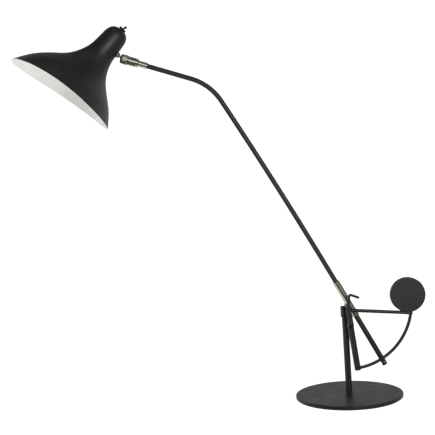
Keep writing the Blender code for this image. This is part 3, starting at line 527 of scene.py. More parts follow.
def black_enamel(name, spun=False):
    """Satin black stove enamel: fine orange peel, slow changes of gloss, faint dust."""
    n = Nodes(name, lathe=spun)
    cloud = n.noise(22.0, 4.0)
    dust = n.cells(900.0)
    tone = n.ramp(cloud, (0.30, (0.0070, 0.0070, 0.0070)), (0.70, (0.0110, 0.0110, 0.0106)))
    colour = n.blend(n.spread(dust, 0.14, 0.0, 0.02, 0.07), tone, (0.08, 0.08, 0.076))
    rough = n.spread(n.noise(35.0, 5.0), 0.43, 0.51)
    peel = n.bump(n.noise(1500.0, 2.0), 0.00003, 0.35)
    grain = n.bump(n.noise(5200.0, 1.0), 0.00001, 0.30, peel)
    if spun:
        grain = n.bump(n.rings(SPUN_RINGS, 0.6), 0.00004, 0.10, grain)
    n.fill(0.36, n.shader.inputs["Specular IOR Level"])
    return n.finish(colour, rough, grain)


def white_enamel():
    """Warm white reflector enamel on spun metal, with faint spinning rings."""
    n = Nodes("white_reflector_enamel", lathe=True)
    tone = n.ramp(n.noise(26.0, 4.0), (0.30, (0.745, 0.738, 0.705)), (0.70, (0.790, 0.782, 0.752)))
    rough = n.spread(n.noise(60.0, 4.0), 0.34, 0.46)
    peel = n.bump(n.noise(1300.0, 2.0), 0.00003, 0.35)
    rings = n.bump(n.rings(SPUN_RINGS, 0.6), 0.00005, 0.12, peel)
    return n.finish(tone, rough, rings)


def turned_metal(name, dark, light, low_rough, high_rough, lathe=False):
    """Plated metal with the fine lines a lathe leaves round its axis, and slow tarnish."""
    n = Nodes(name, lathe)
    tarnish = n.noise(95.0, 3.0)
    tone = n.ramp(tarnish, (0.30, dark), (0.68, light))
    stretched = n.scaled(0.04, 0.04, 1.0)
    cut = n.noise(LATHE_LINES, 3.0, stretched)
    scuffs = n.noise(700.0, 4.0, n.scaled(1.0, 1.0, 0.15), 0.65)
    rough = n.blend(0.5, n.spread(cut, low_rough, high_rough),
                    n.spread(scuffs, low_rough, high_rough, 0.35, 0.75))
    turning = n.bump(cut, 0.000004, 0.10)
    normal = n.bump(scuffs, 0.000005, 0.03, turning)
    return n.finish(tone, rough, normal, Metallic=1.0)


def felt():
    """Pressed black felt with loose fibres."""
    n = Nodes("black_felt")
    fibre = n.noise(1900.0, 6.0, roughness=0.7, distortion=2.0)
    tuft = n.noise(260.0, 4.0)
    tone = n.ramp(fibre, (0.32, (0.010, 0.010, 0.011)), (0.72, (0.050, 0.049, 0.050)))
    tone = n.blend(n.spread(tuft, 0.0, 0.35), tone, (0.028, 0.027, 0.030))
    normal = n.bump(tuft, 0.0003, 0.5, n.bump(fibre, 0.00015, 0.8))
    return n.finish(tone, n.spread(fibre, 0.86, 1.0), normal, Sheen_Weight=0.35)


def moulded(name, dark, light, low_rough, high_rough, grain=1100.0, depth=0.00003):
    """Moulded plastic, rubber or fibre: slow mottling over a fine grain."""
    n = Nodes(name)
    tone = n.ramp(n.noise(90.0, 5.0, roughness=0.6), (0.30, dark), (0.70, light))
    rough = n.spread(n.noise(240.0, 4.0), low_rough, high_rough)
    normal = n.bump(n.noise(grain, 3.0), depth, 0.5)
    return n.finish(tone, rough, normal)


def opal_glass():
    """Flashed opal glass: milky, softly lit through, with a clear glossy skin."""
    n = Nodes("opal_glass_skin")
    tone = n.ramp(n.noise(60.0, 3.0), (0.30, (0.88, 0.87, 0.83)), (0.70, (0.94, 0.935, 0.91)))
    rough = n.spread(n.noise(150.0, 3.0), 0.10, 0.20)
    normal = n.bump(n.noise(80.0, 2.0), 0.0002, 0.10)
    return n.finish(tone, rough, normal, Subsurface_Weight=0.25, Subsurface_Scale=0.004, Coat_Weight=0.4,
                    Coat_Roughness=0.05)


def paper(name, glow):
    """Pale seamless studio paper."""
    n = Nodes(name)
    tone = n.ramp(n.noise(3.0, 3.0), (0.30, (0.875, 0.875, 0.87)), (0.70, (0.885, 0.885, 0.88)))
    normal = n.bump(n.noise(300.0, 3.0), 0.0002, 0.1)
    return n.finish(tone, n.spread(n.noise(9.0), 0.85, 0.95), normal, Specular_IOR_Level=0.1,
                    Emission_Color=(1.0, 1.0, 0.99), Emission_Strength=glow)


ENAMEL = black_enamel("satin_black_enamel")
SHADE_BLACK = black_enamel("shade_black_enamel", spun=True)
WHITE = white_enamel()
NICKEL = turned_metal("satin_nickel_plate", (0.26, 0.26, 0.208), (0.36, 0.358, 0.295), 0.19, 0.25,
                      lathe=True)
BLACK_STEEL = turned_metal("blackened_spring_steel", (0.020, 0.020, 0.019), (0.042, 0.042, 0.040),
                           0.38, 0.55)
STEEL = turned_metal("zinc_plated_steel", (0.36, 0.37, 0.38), (0.56, 0.57, 0.58), 0.30, 0.48)
# Near-black metal used only to paint the shade inside the socket's bore
BORE_SHADE_METAL = turned_metal("painted_bore_shade_metal", (0.020, 0.020, 0.018), (0.042, 0.041, 0.038), 0.42, 0.58, lathe=True)
CAP_METAL = turned_metal("bulb_cap_plate", (0.55, 0.50, 0.36), (0.72, 0.68, 0.52), 0.22, 0.40, lathe=True)
FELT = felt()
RUBBER = moulded("cord_rubber", (0.012, 0.012, 0.012), (0.030, 0.029, 0.028), 0.55, 0.75)
NYLON = moulded("natural_nylon", (0.70, 0.68, 0.60), (0.82, 0.80, 0.74), 0.38, 0.55)
FIBRE = moulded("vulcanised_fibre", (0.16, 0.050, 0.024), (0.26, 0.090, 0.045), 0.55, 0.80, 2600.0, 0.00006)
PHENOLIC = moulded("black_phenolic", (0.016, 0.013, 0.011), (0.034, 0.028, 0.024), 0.26, 0.42)
OPAL = opal_glass()
PAPER = paper("studio_paper", 0.80)
WALL_PAPER = paper("studio_wall_paper", 0.95)


# ---------------------------------------------------------------- base and sector frame

def build_base():
    """Turned base, the post and the bead of enamel where they meet."""
    low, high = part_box("base_disc")
    radius = high.x
    plate = rounded(0.0, radius, low.z, high.z, 0.0012, 5)
    stand_in(turned("base_plate", plate, ENAMEL, segments=192), "base", "base_disc")
    low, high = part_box("post_tube")
    outline = rounded(0.0, high.x, low.z, high.z, 0.0004)
    stand_in(turned("post", outline, ENAMEL, segments=64), "base", "post_tube")
    foot = [(high.x, low.z - 0.0003), (high.x + 0.0016, low.z - 0.0003), (high.x + 0.0007, low.z + 0.0002),
            (high.x + 0.0002, low.z + 0.0011), (high.x, low.z + 0.0014)]
    stand_in(turned("post_foot_bead", foot, ENAMEL, segments=64), "base")


def build_yoke():
    """Fork that grows out of the round tube, with a bored boss on each prong."""
    front = PIVOT.y - YOKE_INNER - YOKE_FRONT_THICKNESS
    rear = PIVOT.y + YOKE_INNER + YOKE_REAR_THICKNESS
    foot_x = PIVOT.x + (PIVOT.z - DOWNTUBE_HIGH) * math.tan(DOWNTUBE_LEAN)
    straight = [DOWNTUBE_HIGH + (PIVOT.z - DOWNTUBE_HIGH) * step / 24 for step in range(24)]
    boss = [PIVOT.z + YOKE_BOSS * math.sin(math.radians(7.5 * step)) for step in range(12)]
    bm = bmesh.new()
    rings = []
    for height in straight + boss:
        down = max(0.0, (PIVOT.z - height) / (PIVOT.z - DOWNTUBE_HIGH))
        grown = min(1.0, (height - DOWNTUBE_HIGH) / (YOKE_FLOOR - DOWNTUBE_HIGH))
        grown = grown * grown * (3.0 - 2.0 * grown)
        above = max(0.0, height - PIVOT.z)
        half_x = math.sqrt(YOKE_BOSS ** 2 - above ** 2) + (DOWNTUBE_RADIUS - YOKE_BOSS) * down
        low_y = PIVOT.y - DOWNTUBE_RADIUS + (front - PIVOT.y + DOWNTUBE_RADIUS) * grown
        high_y = PIVOT.y + DOWNTUBE_RADIUS + (rear - PIVOT.y - DOWNTUBE_RADIUS) * grown
        squareness = 2.0 / (2.0 + 4.0 * grown)
        ring = []
        for step in range(64):
            angle = 2.0 * math.pi * step / 64
            along = math.copysign(abs(math.cos(angle)) ** squareness, math.cos(angle))
            deep = math.copysign(abs(math.sin(angle)) ** squareness, math.sin(angle))
            ring.append(bm.verts.new((PIVOT.x + (foot_x - PIVOT.x) * down + half_x * along,
                                      (low_y + high_y) / 2.0 + (high_y - low_y) / 2.0 * deep, height)))
        rings.append(ring)
    bridge(bm, rings)
    yoke = finish_mesh("yoke_fork", bm, [ENAMEL])
    gap = block("yoke_gap", (-0.03, PIVOT.y - YOKE_INNER, YOKE_FLOOR), (0.04, PIVOT.y + YOKE_INNER, 0.22))
    carve(yoke, gap)
    pad = block("yoke_pad", (YOKE_PAD_LOW[0], rear - 0.0010, YOKE_PAD_LOW[1]),
                (YOKE_PAD_HIGH[0], rear + 0.0040, YOKE_PAD_HIGH[1]))
    carve(yoke, pad, "UNION")
    collar_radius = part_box("swivel_collar")[1].x
    saddle = rounded(0.0, collar_radius + 0.0003, 0.15, 0.20, 0.0001)
    carve(yoke, turned("yoke_saddle", saddle, ENAMEL, segments=96))
    bore = rounded(0.0, TRUNNION_BORE, -0.03, 0.03, 0.0001)
    carve(yoke, turned("yoke_bore", bore, ENAMEL, place(PIVOT, Y_AXIS), 48))
    stand_in(yoke, "frame", "yoke")


def build_frame():
    """Everything that turns on the post: collar, fork, tube, curved rod, top bar and weight."""
    build_yoke()
    low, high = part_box("swivel_collar")
    outline = rounded(0.0, high.x, low.z, high.z, 0.0009, 4)
    collar = turned("collar", outline, ENAMEL, segments=96)
    drill = turned("collar_screw_hole", rounded(0.0, COLLAR_SCREW_HOLE, 0.0079, 0.0100, 0.0001), ENAMEL,
                   place(Z_AXIS * COLLAR_SCREW_HEIGHT, Y_AXIS), 32)
    stand_in(carve(collar, drill), "frame", "swivel_collar")

    foot = Vector((PIVOT.x + (PIVOT.z - DOWNTUBE_LOW) * math.tan(DOWNTUBE_LEAN), PIVOT.y, DOWNTUBE_LOW))
    up = lean(DOWNTUBE_LEAN)
    length = (DOWNTUBE_HIGH - DOWNTUBE_LOW) / math.cos(DOWNTUBE_LEAN)
    outline = rounded(0.0, DOWNTUBE_RADIUS, -0.0011, length, 0.0005)
    stand_in(turned("sector_tube", outline, ENAMEL, place(foot, up)), "frame", "downtube", "downtube_plug")

    start = math.asin((foot.x - PIVOT.x - 0.003) / ARC_RADIUS) - math.pi / 2.0
    end = -math.asin((PIVOT.z - BAR_END.z - 0.0008) / ARC_RADIUS)
    path = [Vector((x, PIVOT.y, z)) for x, z in arc_points((PIVOT.x, PIVOT.z), ARC_RADIUS, start, end, 96)]
    stand_in(swept("sector_arc", path, ARC_ROD, ENAMEL), "frame", "arc_rod")
    path = [BAR_START, BAR_START.lerp(BAR_END, 0.5), BAR_END]
    stand_in(swept("sector_bar", path, BAR_ROD, ENAMEL), "frame", "top_bar")

    low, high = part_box("counterweight")
    centre = Vector(((low.x + high.x) / 2.0, (low.y + high.y) / 2.0, high.z - (high.x - low.x) / 2.0))
    radius = (high.x - low.x) / 2.0
    half = (high.y - low.y) / 2.0
    outline = rounded(0.0, radius, -half, half, 0.0018, 6)
    weight = turned("balance_weight", outline, ENAMEL, place(centre, Y_AXIS), 160)
    low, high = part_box("counterweight_screw")
    seat = Vector(((low.x + high.x) / 2.0, (low.y + high.y) / 2.0, low.z))
    drill = turned("weight_screw_hole", rounded(0.0, WEIGHT_SCREW_HOLE, 0.0, 0.03, 0.0001), ENAMEL,
                   place(seat, Z_AXIS), 32)
    stand_in(carve(weight, drill), "frame", "counterweight")


# ---------------------------------------------------------------- arm

def arm_path():
    """Foot of the sleeve's axis beside the pivot, and the upper tube's centreline to the ball joint."""
    foot = PIVOT + Vector((math.cos(ARM_LEAN), 0.0, math.sin(ARM_LEAN))) * ARM_OFFSET
    start = foot + lean(ARM_LEAN) * SLEEVE_UP
    turn = Vector((math.cos(ARM_LEAN_TOP) - math.cos(ARM_LEAN_AT_BEND), 0.0,
                   math.sin(ARM_LEAN_TOP) - math.sin(ARM_LEAN_AT_BEND))) * ARM_BEND_RADIUS
    run = BALL - start - turn
    bow = lean((ARM_LEAN + ARM_LEAN_AT_BEND) / 2.0)
    spread = bow.x * TOP_UP.z - bow.z * TOP_UP.x
    bow_length = (run.x * TOP_UP.z - run.z * TOP_UP.x) / spread
    points = [start - lean(ARM_LEAN) * 0.004, start]
    bow_steps = 8
    for step in range(bow_steps):
        heading = ARM_LEAN + (ARM_LEAN_AT_BEND - ARM_LEAN) * (step + 0.5) / bow_steps
        points.append(points[-1] + lean(heading) * (bow_length / bow_steps))
    bend_steps = 36
    turn_angle = ARM_LEAN_TOP - ARM_LEAN_AT_BEND
    for step in range(bend_steps):
        heading = ARM_LEAN_AT_BEND + turn_angle * (step + 0.5) / bend_steps
        points.append(points[-1] + lean(heading) * (ARM_BEND_RADIUS * turn_angle / bend_steps))
    points.append(BALL - TOP_UP * (SOCKET_FRONT + SOCKET_LENGTH + 0.001))
    return foot, points


def build_arm():
    """Bent upper tube, nickel sleeve, and the lower rod with its end plug and outlet for the lead."""
    foot, path = arm_path()
    stand_in(swept("arm", path, ARM_TUBE_RADIUS, ENAMEL), "arm", "arm_tube")
    at = place(foot, lean(ARM_LEAN), Y_AXIS)
    outline = rounded(ARM_TUBE_RADIUS + 0.0001, SLEEVE_RADIUS, -SLEEVE_DOWN, SLEEVE_UP, 0.0005, 4)
    sleeve = turned("sleeve", outline, NICKEL, at, 96)
    stand_in(sleeve, "arm", "pivot_sleeve")
    outline = rounded(0.0, ROD_RADIUS, -FERRULE_LOW, -FERRULE_HIGH, 0.0010, 5)
    stand_in(turned("rod_end_plug", outline, NICKEL, at, 64), "arm", "arm_end_ferrule")

    lower = turned("counter_rod", rounded(ARM_BORE, ROD_RADIUS, -ROD_END, -0.0006, 0.0003), ENAMEL, at, 64)
    crossing = foot - lean(ARM_LEAN) * math.sqrt(ARC_RADIUS ** 2 - ARM_OFFSET ** 2)
    tangent = (crossing - PIVOT).cross(Y_AXIS)
    guide = turned("arc_guide", rounded(0.0, ARC_ROD + GUIDE_CLEARANCE, -0.012, 0.012, 0.0002), ENAMEL,
                   place(crossing, tangent, Y_AXIS), 48)
    outlet = turned("lead_outlet", rounded(0.0, GROMMET_HOLE, 0.001, 0.008, 0.0002), ENAMEL,
                    place(foot - lean(ARM_LEAN) * GROMMET_AT, Y_AXIS), 32)
    stand_in(carve(carve(lower, guide), outlet), "arm", "lower_rod")


def build_clamp():
    """Round nut on the front trunnion and its bent wire lever."""
    low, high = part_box("clamp_nut")
    radius = (high.z - low.z) / 2.0
    back = PIVOT.y - high.y
    front = PIVOT.y - low.y
    outline = rounded(TRUNNION_BORE, radius, back, front, 0.0008, 4)[:-1]
    outline += [(0.0, front), (0.0, front - 0.0016), (TRUNNION_BORE, front - 0.0016)]
    nut = turned("clamp_knob", outline, ENAMEL, place(PIVOT, -Y_AXIS), 64)
    rise = lean(-LEVER_LEAN)
    root = PIVOT - Y_AXIS * (back + front) / 2.0
    apex = root + rise * LEVER_RISE
    reach = Vector((math.cos(LEVER_DROOP), 0.0, -math.sin(LEVER_DROOP)))
    shoulder = apex - rise * LEVER_BEND
    turn_end = apex + reach * LEVER_BEND
    path = [root + rise * (radius - 0.0019), shoulder]
    bend_steps = 16
    for step in range(1, bend_steps + 1):
        part = step / bend_steps
        path.append(shoulder * (1.0 - part) ** 2 + apex * 2.0 * part * (1.0 - part) + turn_end * part ** 2)
    path.append(apex + reach * LEVER_REACH)
    drill = turned("lever_hole", rounded(0.0, LEVER_ROD + 0.0003, radius - 0.0022, 0.012, 0.0002), ENAMEL,
                   place(root, rise), 48)
    stand_in(carve(nut, drill), "clamp", "clamp_nut")
    stand_in(swept("clamp_handle", path, LEVER_ROD, ENAMEL, LEVER_END_ROUNDING), "clamp", "clamp_lever")


# ---------------------------------------------------------------- ball joint

def build_joint():
    """Fluted cap, slotted body and ferrule of the ball joint, and the ball with its stem."""
    at = place(BALL, TOP_UP, Y_AXIS)
    outline = [(CAP_CAVITY, -CAP_BACK)]
    outline += rounded(CAP_CAVITY, CAP_RADIUS, -CAP_BACK, 0.0, 0.0006, 3)[1:5]
    crown = [(CAP_RADIUS, CAP_FRONT - 0.0042), (CAP_RADIUS - 0.0004, CAP_FRONT - 0.0024),
             (CAP_RADIUS - 0.0013, CAP_FRONT - 0.0008), (CAP_RADIUS - 0.0026, CAP_FRONT)]
    outline += smooth_points(crown, 4)
    outline += [(0.0066, CAP_FRONT), (0.0051, 0.0026), (CAP_CAVITY, 0.0012)]
    bands = []
    for low, high in zip(outline, outline[1:]):
        bands.append(low)
        if abs(low[0] - CAP_RADIUS) < 1e-5 and abs(high[0] - CAP_RADIUS) < 1e-5:
            bands += [(CAP_RADIUS, low[1] + (high[1] - low[1]) * part / 8) for part in range(1, 8)]
    bands.append(outline[-1])
    cap = turned("socket_nut", bands, NICKEL, at, 144, flutes=12, flute_depth=0.0004,
                 flute_band=(-0.0068, 0.0026))
    stand_in(cap, "arm", "socket_cap")

    front = -SOCKET_FRONT
    back = front - SOCKET_LENGTH
    floor = back + SOCKET_FLOOR
    outline = [(SOCKET_HOLE, floor), (SOCKET_HOLE, back)]
    outline += rounded(SOCKET_HOLE, SOCKET_RADIUS, back, front, 0.0006, 3)[1:-1]
    outline += [(SOCKET_BORE, front), (SOCKET_BORE, floor)]
    socket = turned("socket_body", outline, NICKEL, at, 96)
    # Painted shade: the bore's faces turn near-black so that the slots read dark
    paint_bore_shade(socket, SOCKET_BORE + 0.0003)
    for turn in (45.0, 135.0):
        slot = slot_tool("slot_cutter", SLOT_HALF, floor + 0.002, front - 0.003)
        slot.matrix_world = at @ Matrix.Rotation(math.radians(turn), 4, "Z")
        carve(socket, slot)
    stand_in(socket, "arm", "joint_socket")

    high = back - JOINT_GAP
    outline = rounded(ARM_TUBE_RADIUS + 0.0001, FERRULE_RADIUS, high - FERRULE_LENGTH, high, 0.0006, 3)
    stand_in(turned("joint_sleeve", outline, NICKEL, at, 64), "arm", "joint_ferrule")

    ball = arc_points((0.0, 0.0), BALL_RADIUS, -math.pi / 2.0, math.radians(64.0), 24)
    ball[0] = (0.0, -BALL_RADIUS)
    stem = ball + [(STEM_RADIUS, 0.0053), (STEM_RADIUS, STEM_LENGTH - 0.0004),
                   (STEM_RADIUS - 0.0004, STEM_LENGTH), (0.0, STEM_LENGTH)]
    stand_in(turned("ball_and_stem", stem, NICKEL, place(BALL, -ACROSS, Y_AXIS), 64), "ball", "ball_stem")


def paint_bore_shade(piece, radius):
    """Painted shade: near-black metal on the faces nearer the axis than radius, standing in for the shade
    inside the bore.
    """
    piece.data.materials.append(BORE_SHADE_METAL)
    shaped = piece.data.attributes["lathe"].data
    for face in piece.data.polygons:
        if all(shaped[index].vector.xy.length < radius for index in face.vertices):
            face.material_index = 1


def slot_tool(name, half, low, high):
    """Round-ended slot through the whole width of a tube."""
    bm = bmesh.new()
    outline = [(half * math.cos(math.radians(a)), high - half + half * math.sin(math.radians(a)))
               for a in range(0, 181, 20)]
    outline += [(half * math.cos(math.radians(a)), low + half + half * math.sin(math.radians(a)))
                for a in range(180, 361, 20)]
    face = bm.faces.new([bm.verts.new((-0.012, y, z)) for y, z in outline])
    grown = bmesh.ops.extrude_face_region(bm, geom=[face])
    moved = [item for item in grown["geom"] if isinstance(item, bmesh.types.BMVert)]
    bmesh.ops.translate(bm, verts=moved, vec=(0.024, 0.0, 0.0))
    return finish_mesh(name, bm, [NICKEL])


# ---------------------------------------------------------------- shade

def build_shade():
    """Spun shade: one smooth skin given its wall, black outside and white inside."""
    turn = Matrix((ACROSS, DEPTH, SHADE_UP)).transposed().to_4x4()
    segments = 160
    bm = bmesh.new()
    rings = []
    for height, radius, offset in smooth_points(SHADE_STATIONS, 6):
        fade = max(0.0, 1.0 - height / SADDLE_FADES_AT)
        ring = []
        for step in range(segments):
            angle = 2.0 * math.pi * step / segments
            side = math.sin(angle)
            ring.append(bm.verts.new((offset + radius * math.cos(angle), radius * side,
                                      height + SADDLE * side * side * fade)))
        rings.append(ring)
    top = rings[-1]
    for share in (0.66, 0.33):
        centre = sum((vert.co for vert in top), Vector()) / segments
        rings.append([bm.verts.new(centre + (vert.co - centre) * share) for vert in top])
    bridge(bm, rings, close_start=False)
    shade = finish_mesh("shade", bm, [SHADE_BLACK, WHITE], Matrix.Translation(MOUTH) @ turn, 60.0)
    wall = shade.modifiers.new("wall", "SOLIDIFY")
    wall.thickness = SHADE_WALL
    wall.offset = -1.0
    wall.use_even_offset = True
    wall.material_offset = 1
    wall.material_offset_rim = 1
    evaluated = shade.evaluated_get(bpy.context.evaluated_depsgraph_get())
    shade.data = bpy.data.meshes.new_from_object(evaluated)
    shade.modifiers.clear()
    stand_in(shade, "shade", "shade_shell")


def neck_frame():
    """Frame on the neck's axis, whose local Z measures from the mouth's plane."""
    base = MOUTH + ACROSS * (NECK_REFERENCE[1] - NECK_SLOPE * NECK_REFERENCE[0])
    return place(base, SHADE_UP + ACROSS * NECK_SLOPE, ACROSS)


def build_bulb():
    """Opal globe with its neck, and the screw cap with its thread as rings."""
    at = neck_frame()
    centre = BULB_BOTTOM + BULB_RADIUS
    globe = arc_points((0.0, centre), BULB_RADIUS, -math.pi / 2.0, math.radians(35.0), 40)
    globe[0] = (0.0, BULB_BOTTOM)
    shoulder = globe[-1]
    neck = (0.0132, CAP_LOW - 0.0003)
    taper = []
    for step in range(1, 10):
        part = step / 10
        taper.append((shoulder[0] + (neck[0] - shoulder[0]) * part,
                      shoulder[1] + (neck[1] - shoulder[1]) * part ** 0.8))
    stand_in(turned("bulb", globe + taper + [neck, (0.0, neck[1])], OPAL, at, 96), "shade", "bulb_glass")
    thread = [(0.0, CAP_LOW)]
    turns = 5
    for step in range(turns * 8 + 1):
        height = CAP_LOW + 0.0030 + 0.0170 * step / (turns * 8)
        thread.append((CAP_THREAD_RADIUS - 0.0007 + 0.0007 * math.cos(2.0 * math.pi * step / 8), height))
    thread.insert(1, (CAP_THREAD_RADIUS, CAP_LOW))
    thread += [(0.0095, CAP_HIGH - 0.0035), (0.0060, CAP_HIGH - 0.0015), (0.0045, CAP_HIGH), (0.0, CAP_HIGH)]
    stand_in(turned("bulb_screw_cap", thread, CAP_METAL, at, 64), "shade", "bulb_cap")


def build_stem_fixings():
    """Spacer and ring nut that hold the ball's stem to the neck."""
    at = place(BALL, -ACROSS, Y_AXIS)
    wall = BALL_REACH - NECK_SIDE
    outline = rounded(0.0026, 0.0061, wall - 0.0025, wall - 0.0011, 0.0004)
    stand_in(turned("stem_spacer", outline, NICKEL, at, 96), "shade", "stem_collar")
    outline = rounded(0.0026, 0.0052, wall - 0.0060, wall - 0.0028, 0.0005)
    nut = turned("stem_ring_nut", outline, NICKEL, at, 96, flutes=16, flute_depth=0.0003,
                 flute_band=(wall - 0.0056, wall - 0.0032))
    stand_in(nut, "shade", "stem_nut")


def build_switch():
    """Ring nut on the dome and the toggle's bat lever, on an axis tilted from the neck's."""
    neck = neck_frame()
    neck_up = neck.to_3x3() @ Z_AXIS
    axis = neck_up * math.cos(SWITCH_TILT) + ACROSS * math.sin(SWITCH_TILT)
    centre = neck @ Vector((0.0, 0.0, DOME_CENTRE * math.sqrt(1.0 + NECK_SLOPE ** 2)))
    at = place(centre, axis, ACROSS)
    low = SWITCH_NUT_SEAT
    high = low + SWITCH_NUT_THICKNESS
    outline = rounded(0.0033, SWITCH_NUT_RADIUS, low, high, 0.0008, 4)
    nut = turned("switch_ring_nut", outline, ENAMEL, at, 144, flutes=24, flute_depth=0.0004,
                 flute_band=(low + 0.0005, high - 0.0005))
    stand_in(nut, "shade", "switch_nut")
    turn = at.to_3x3()
    lean_to = (turn @ Z_AXIS) * math.cos(SWITCH_LEAN) + (turn @ X_AXIS) * math.sin(SWITCH_LEAN)
    bat = smooth_points([(0.0008, -0.0022), (0.0012, 0.0), (0.0013, 0.0018), (0.0020, 0.0044),
                         (0.0027, 0.0066), (0.0028, 0.0079), (0.0021, 0.0092), (0.0011, 0.0097),
                         (0.0, 0.0098)], 4)
    toggle = turned("toggle_bat", [(0.0, -0.0022)] + bat, ENAMEL, place(TOGGLE, lean_to, ACROSS), 48)
    stand_in(toggle, "switch", "switch_lever")


def build_holder():
    """Turned phenolic lampholder with a rolled lip and grip rings."""
    outline = [(HOLDER_BORE, HOLDER_LOW), (HOLDER_RADIUS - 0.0006, HOLDER_LOW),
               (HOLDER_RADIUS, HOLDER_LOW + 0.0006), (HOLDER_RADIUS, HOLDER_LOW + 0.0030)]
    for ring in range(4):
        at = HOLDER_LOW + 0.0034 + 0.0024 * ring
        outline += [(HOLDER_RADIUS - 0.0006, at), (HOLDER_RADIUS - 0.0006, at + 0.0008),
                    (HOLDER_RADIUS, at + 0.0012), (HOLDER_RADIUS, at + 0.0020)]
    outline += [(HOLDER_RADIUS, HOLDER_SHOULDER)]
    crown = [(HOLDER_RADIUS, HOLDER_SHOULDER), (0.0157, 0.1512), (0.0138, 0.1543), (0.0112, 0.1564)]
    outline += smooth_points(crown, 5)[1:]
    outline += [(0.0105, HOLDER_TOP), (0.0, HOLDER_TOP),
                (0.0, CAP_HIGH + 0.0010), (HOLDER_BORE, CAP_HIGH + 0.0010)]
    stand_in(turned("lamp_socket", outline, PHENOLIC, neck_frame(), 96), "shade", "lampholder")


# ---------------------------------------------------------------- carried-over CAD nodes

CARRIED = {
    "base_pad": FELT,
    "base_washer": STEEL,
    "base_bolt": STEEL,
    "post_foot_plug": STEEL,
    "collar_screw": STEEL,
    "counterweight_screw": ENAMEL,
    "pivot_washer_front": FIBRE,
    "pivot_washer_rear": FIBRE,
    "arm_hub": STEEL,
    "pivot_clip": STEEL,
    "cable_grommet": RUBBER,
    "arm_lead": RUBBER,
    "joint_spring": BLACK_STEEL,
    "ball_seat": NYLON,
    "stem_washer": STEEL,
    "holder_bracket": STEEL,
    "switch_body": PHENOLIC,
}


def dress_carried():
    """Give each CAD node that is shown as it is its procedural finish."""
    for name, finish in CARRIED.items():
        node = frame["nodes"][name]
        node.data.materials.clear()
        node.data.materials.append(finish)


# ---------------------------------------------------------------- studio

def build_studio():
    """Round sweep of pale paper, soft lights and the camera."""
    profile = [(0.0, 0.0), (FLOOR_RADIUS, 0.0), (SWEEP_STARTS, 0.0)]
    profile += [(SWEEP_STARTS + SWEEP_CURVE * math.sin(math.radians(a)),
                 SWEEP_CURVE - SWEEP_CURVE * math.cos(math.radians(a))) for a in range(6, 91, 6)]
    profile += [(SWEEP_STARTS + SWEEP_CURVE, SWEEP_TOP)]
    bm = bmesh.new()
    verts = [bm.verts.new((radius, 0.0, height)) for radius, height in profile]
    for first, second in zip(verts, verts[1:]):
        bm.edges.new((first, second))
    bmesh.ops.spin(bm, geom=bm.verts[:] + bm.edges[:], cent=(0.0, 0.0, 0.0), axis=Z_AXIS,
                   angle=2.0 * math.pi, steps=96, use_merge=True)
    sweep = finish_mesh("paper_sweep", bm, [PAPER], Matrix.Translation(STUDIO_CENTRE), 80.0)
    wall = finish_wall(sweep)
    bounce_card()

    world = bpy.data.worlds.new("studio")
    bpy.context.scene.world = world
    world.use_nodes = True
    light_the_world(world.node_tree)
    for name, at, aim, size, power in LIGHTS:
        data = bpy.data.lights.new(name, "AREA")
        data.shape = "RECTANGLE"
        data.size, data.size_y = size
        data.energy = power
        lamp = bpy.data.objects.new(name, data)
        bpy.context.scene.collection.objects.link(lamp)
        lamp.location = at
        lamp.rotation_euler = (Vector(aim) - Vector(at)).to_track_quat("-Z", "Y").to_euler()
        lamp.visible_camera = False

    data = bpy.data.cameras.new("camera")
    data.lens = LENS
    data.sensor_width = 36.0
    camera = bpy.data.objects.new("camera", data)
    bpy.context.scene.collection.objects.link(camera)
    aim = (LOOK_AT - CAMERA_AT).to_track_quat("-Z", "Y").to_matrix().to_4x4()
    camera.matrix_world = Matrix.Translation(CAMERA_AT) @ aim @ Matrix.Rotation(CAMERA_ROLL, 4, "Z")
    bpy.context.scene.camera = camera
    bpy.context.scene.view_settings.view_transform = "Standard"


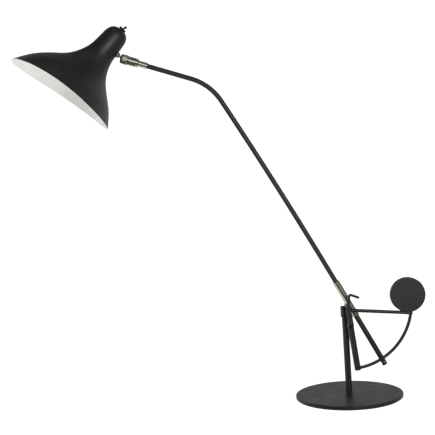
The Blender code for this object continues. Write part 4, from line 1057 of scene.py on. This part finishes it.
def light_the_world(tree):
    """White light that is dim in front of the lamp and overhead, and brightest low down behind it."""
    coordinates = tree.nodes.new("ShaderNodeTexCoord")
    split = tree.nodes.new("ShaderNodeSeparateXYZ")
    tree.links.new(coordinates.outputs["Generated"], split.inputs["Vector"])
    strength = tree.nodes.new("ShaderNodeMath")
    strength.operation = "MULTIPLY"
    fades = (("Y", -0.9, 0.6, WORLD_FRONT, WORLD_BACK), ("Z", 0.38, 0.80, 1.0, WORLD_OVERHEAD))
    for slot, (axis, start, end, low, high) in enumerate(fades):
        fade = tree.nodes.new("ShaderNodeMapRange")
        fade.inputs["From Min"].default_value = start
        fade.inputs["From Max"].default_value = end
        fade.inputs["To Min"].default_value = low
        fade.inputs["To Max"].default_value = high
        tree.links.new(split.outputs[axis], fade.inputs["Value"])
        tree.links.new(fade.outputs["Result"], strength.inputs[slot])
    tree.links.new(strength.outputs["Value"], tree.nodes["Background"].inputs["Strength"])
    tree.nodes["Background"].inputs["Color"].default_value = (1.0, 1.0, 1.0, 1.0)


def bounce_card():
    """White card on the floor to the left that only reflections see."""
    low, high, height, glow = BOUNCE_CARD
    bm = bmesh.new()
    bm.faces.new([bm.verts.new((x, y, height)) for x, y in
                  ((low[0], low[1]), (high[0], low[1]), (high[0], high[1]), (low[0], high[1]))])
    card = finish_mesh("bounce_card", bm, [paper("bounce_card_paper", glow)])
    card.visible_camera = False
    card.visible_diffuse = False
    card.visible_shadow = False
    return card


def finish_wall(sweep):
    """The outer floor and the rising part as a sheet of their own, which only the camera sees."""
    wall = sweep.copy()
    wall.data = sweep.data.copy()
    wall.name = "paper_wall"
    wall.data.materials[0] = WALL_PAPER
    bpy.context.scene.collection.objects.link(wall)
    for target, keep_wall in ((sweep, False), (wall, True)):
        bm = bmesh.new()
        bm.from_mesh(target.data)
        gone = [face for face in bm.faces
                if (face.calc_center_median().xy.length > FLOOR_RADIUS) != keep_wall]
        bmesh.ops.delete(bm, geom=gone, context="FACES")
        bm.to_mesh(target.data)
        bm.free()
    wall.visible_diffuse = False
    wall.visible_glossy = False
    wall.visible_transmission = False
    wall.visible_shadow = False
    sweep.visible_glossy = False
    return wall


build_base()
build_frame()
build_arm()
build_clamp()
build_joint()
build_shade()
build_bulb()
build_holder()
build_stem_fixings()
build_switch()
dress_carried()
build_studio()
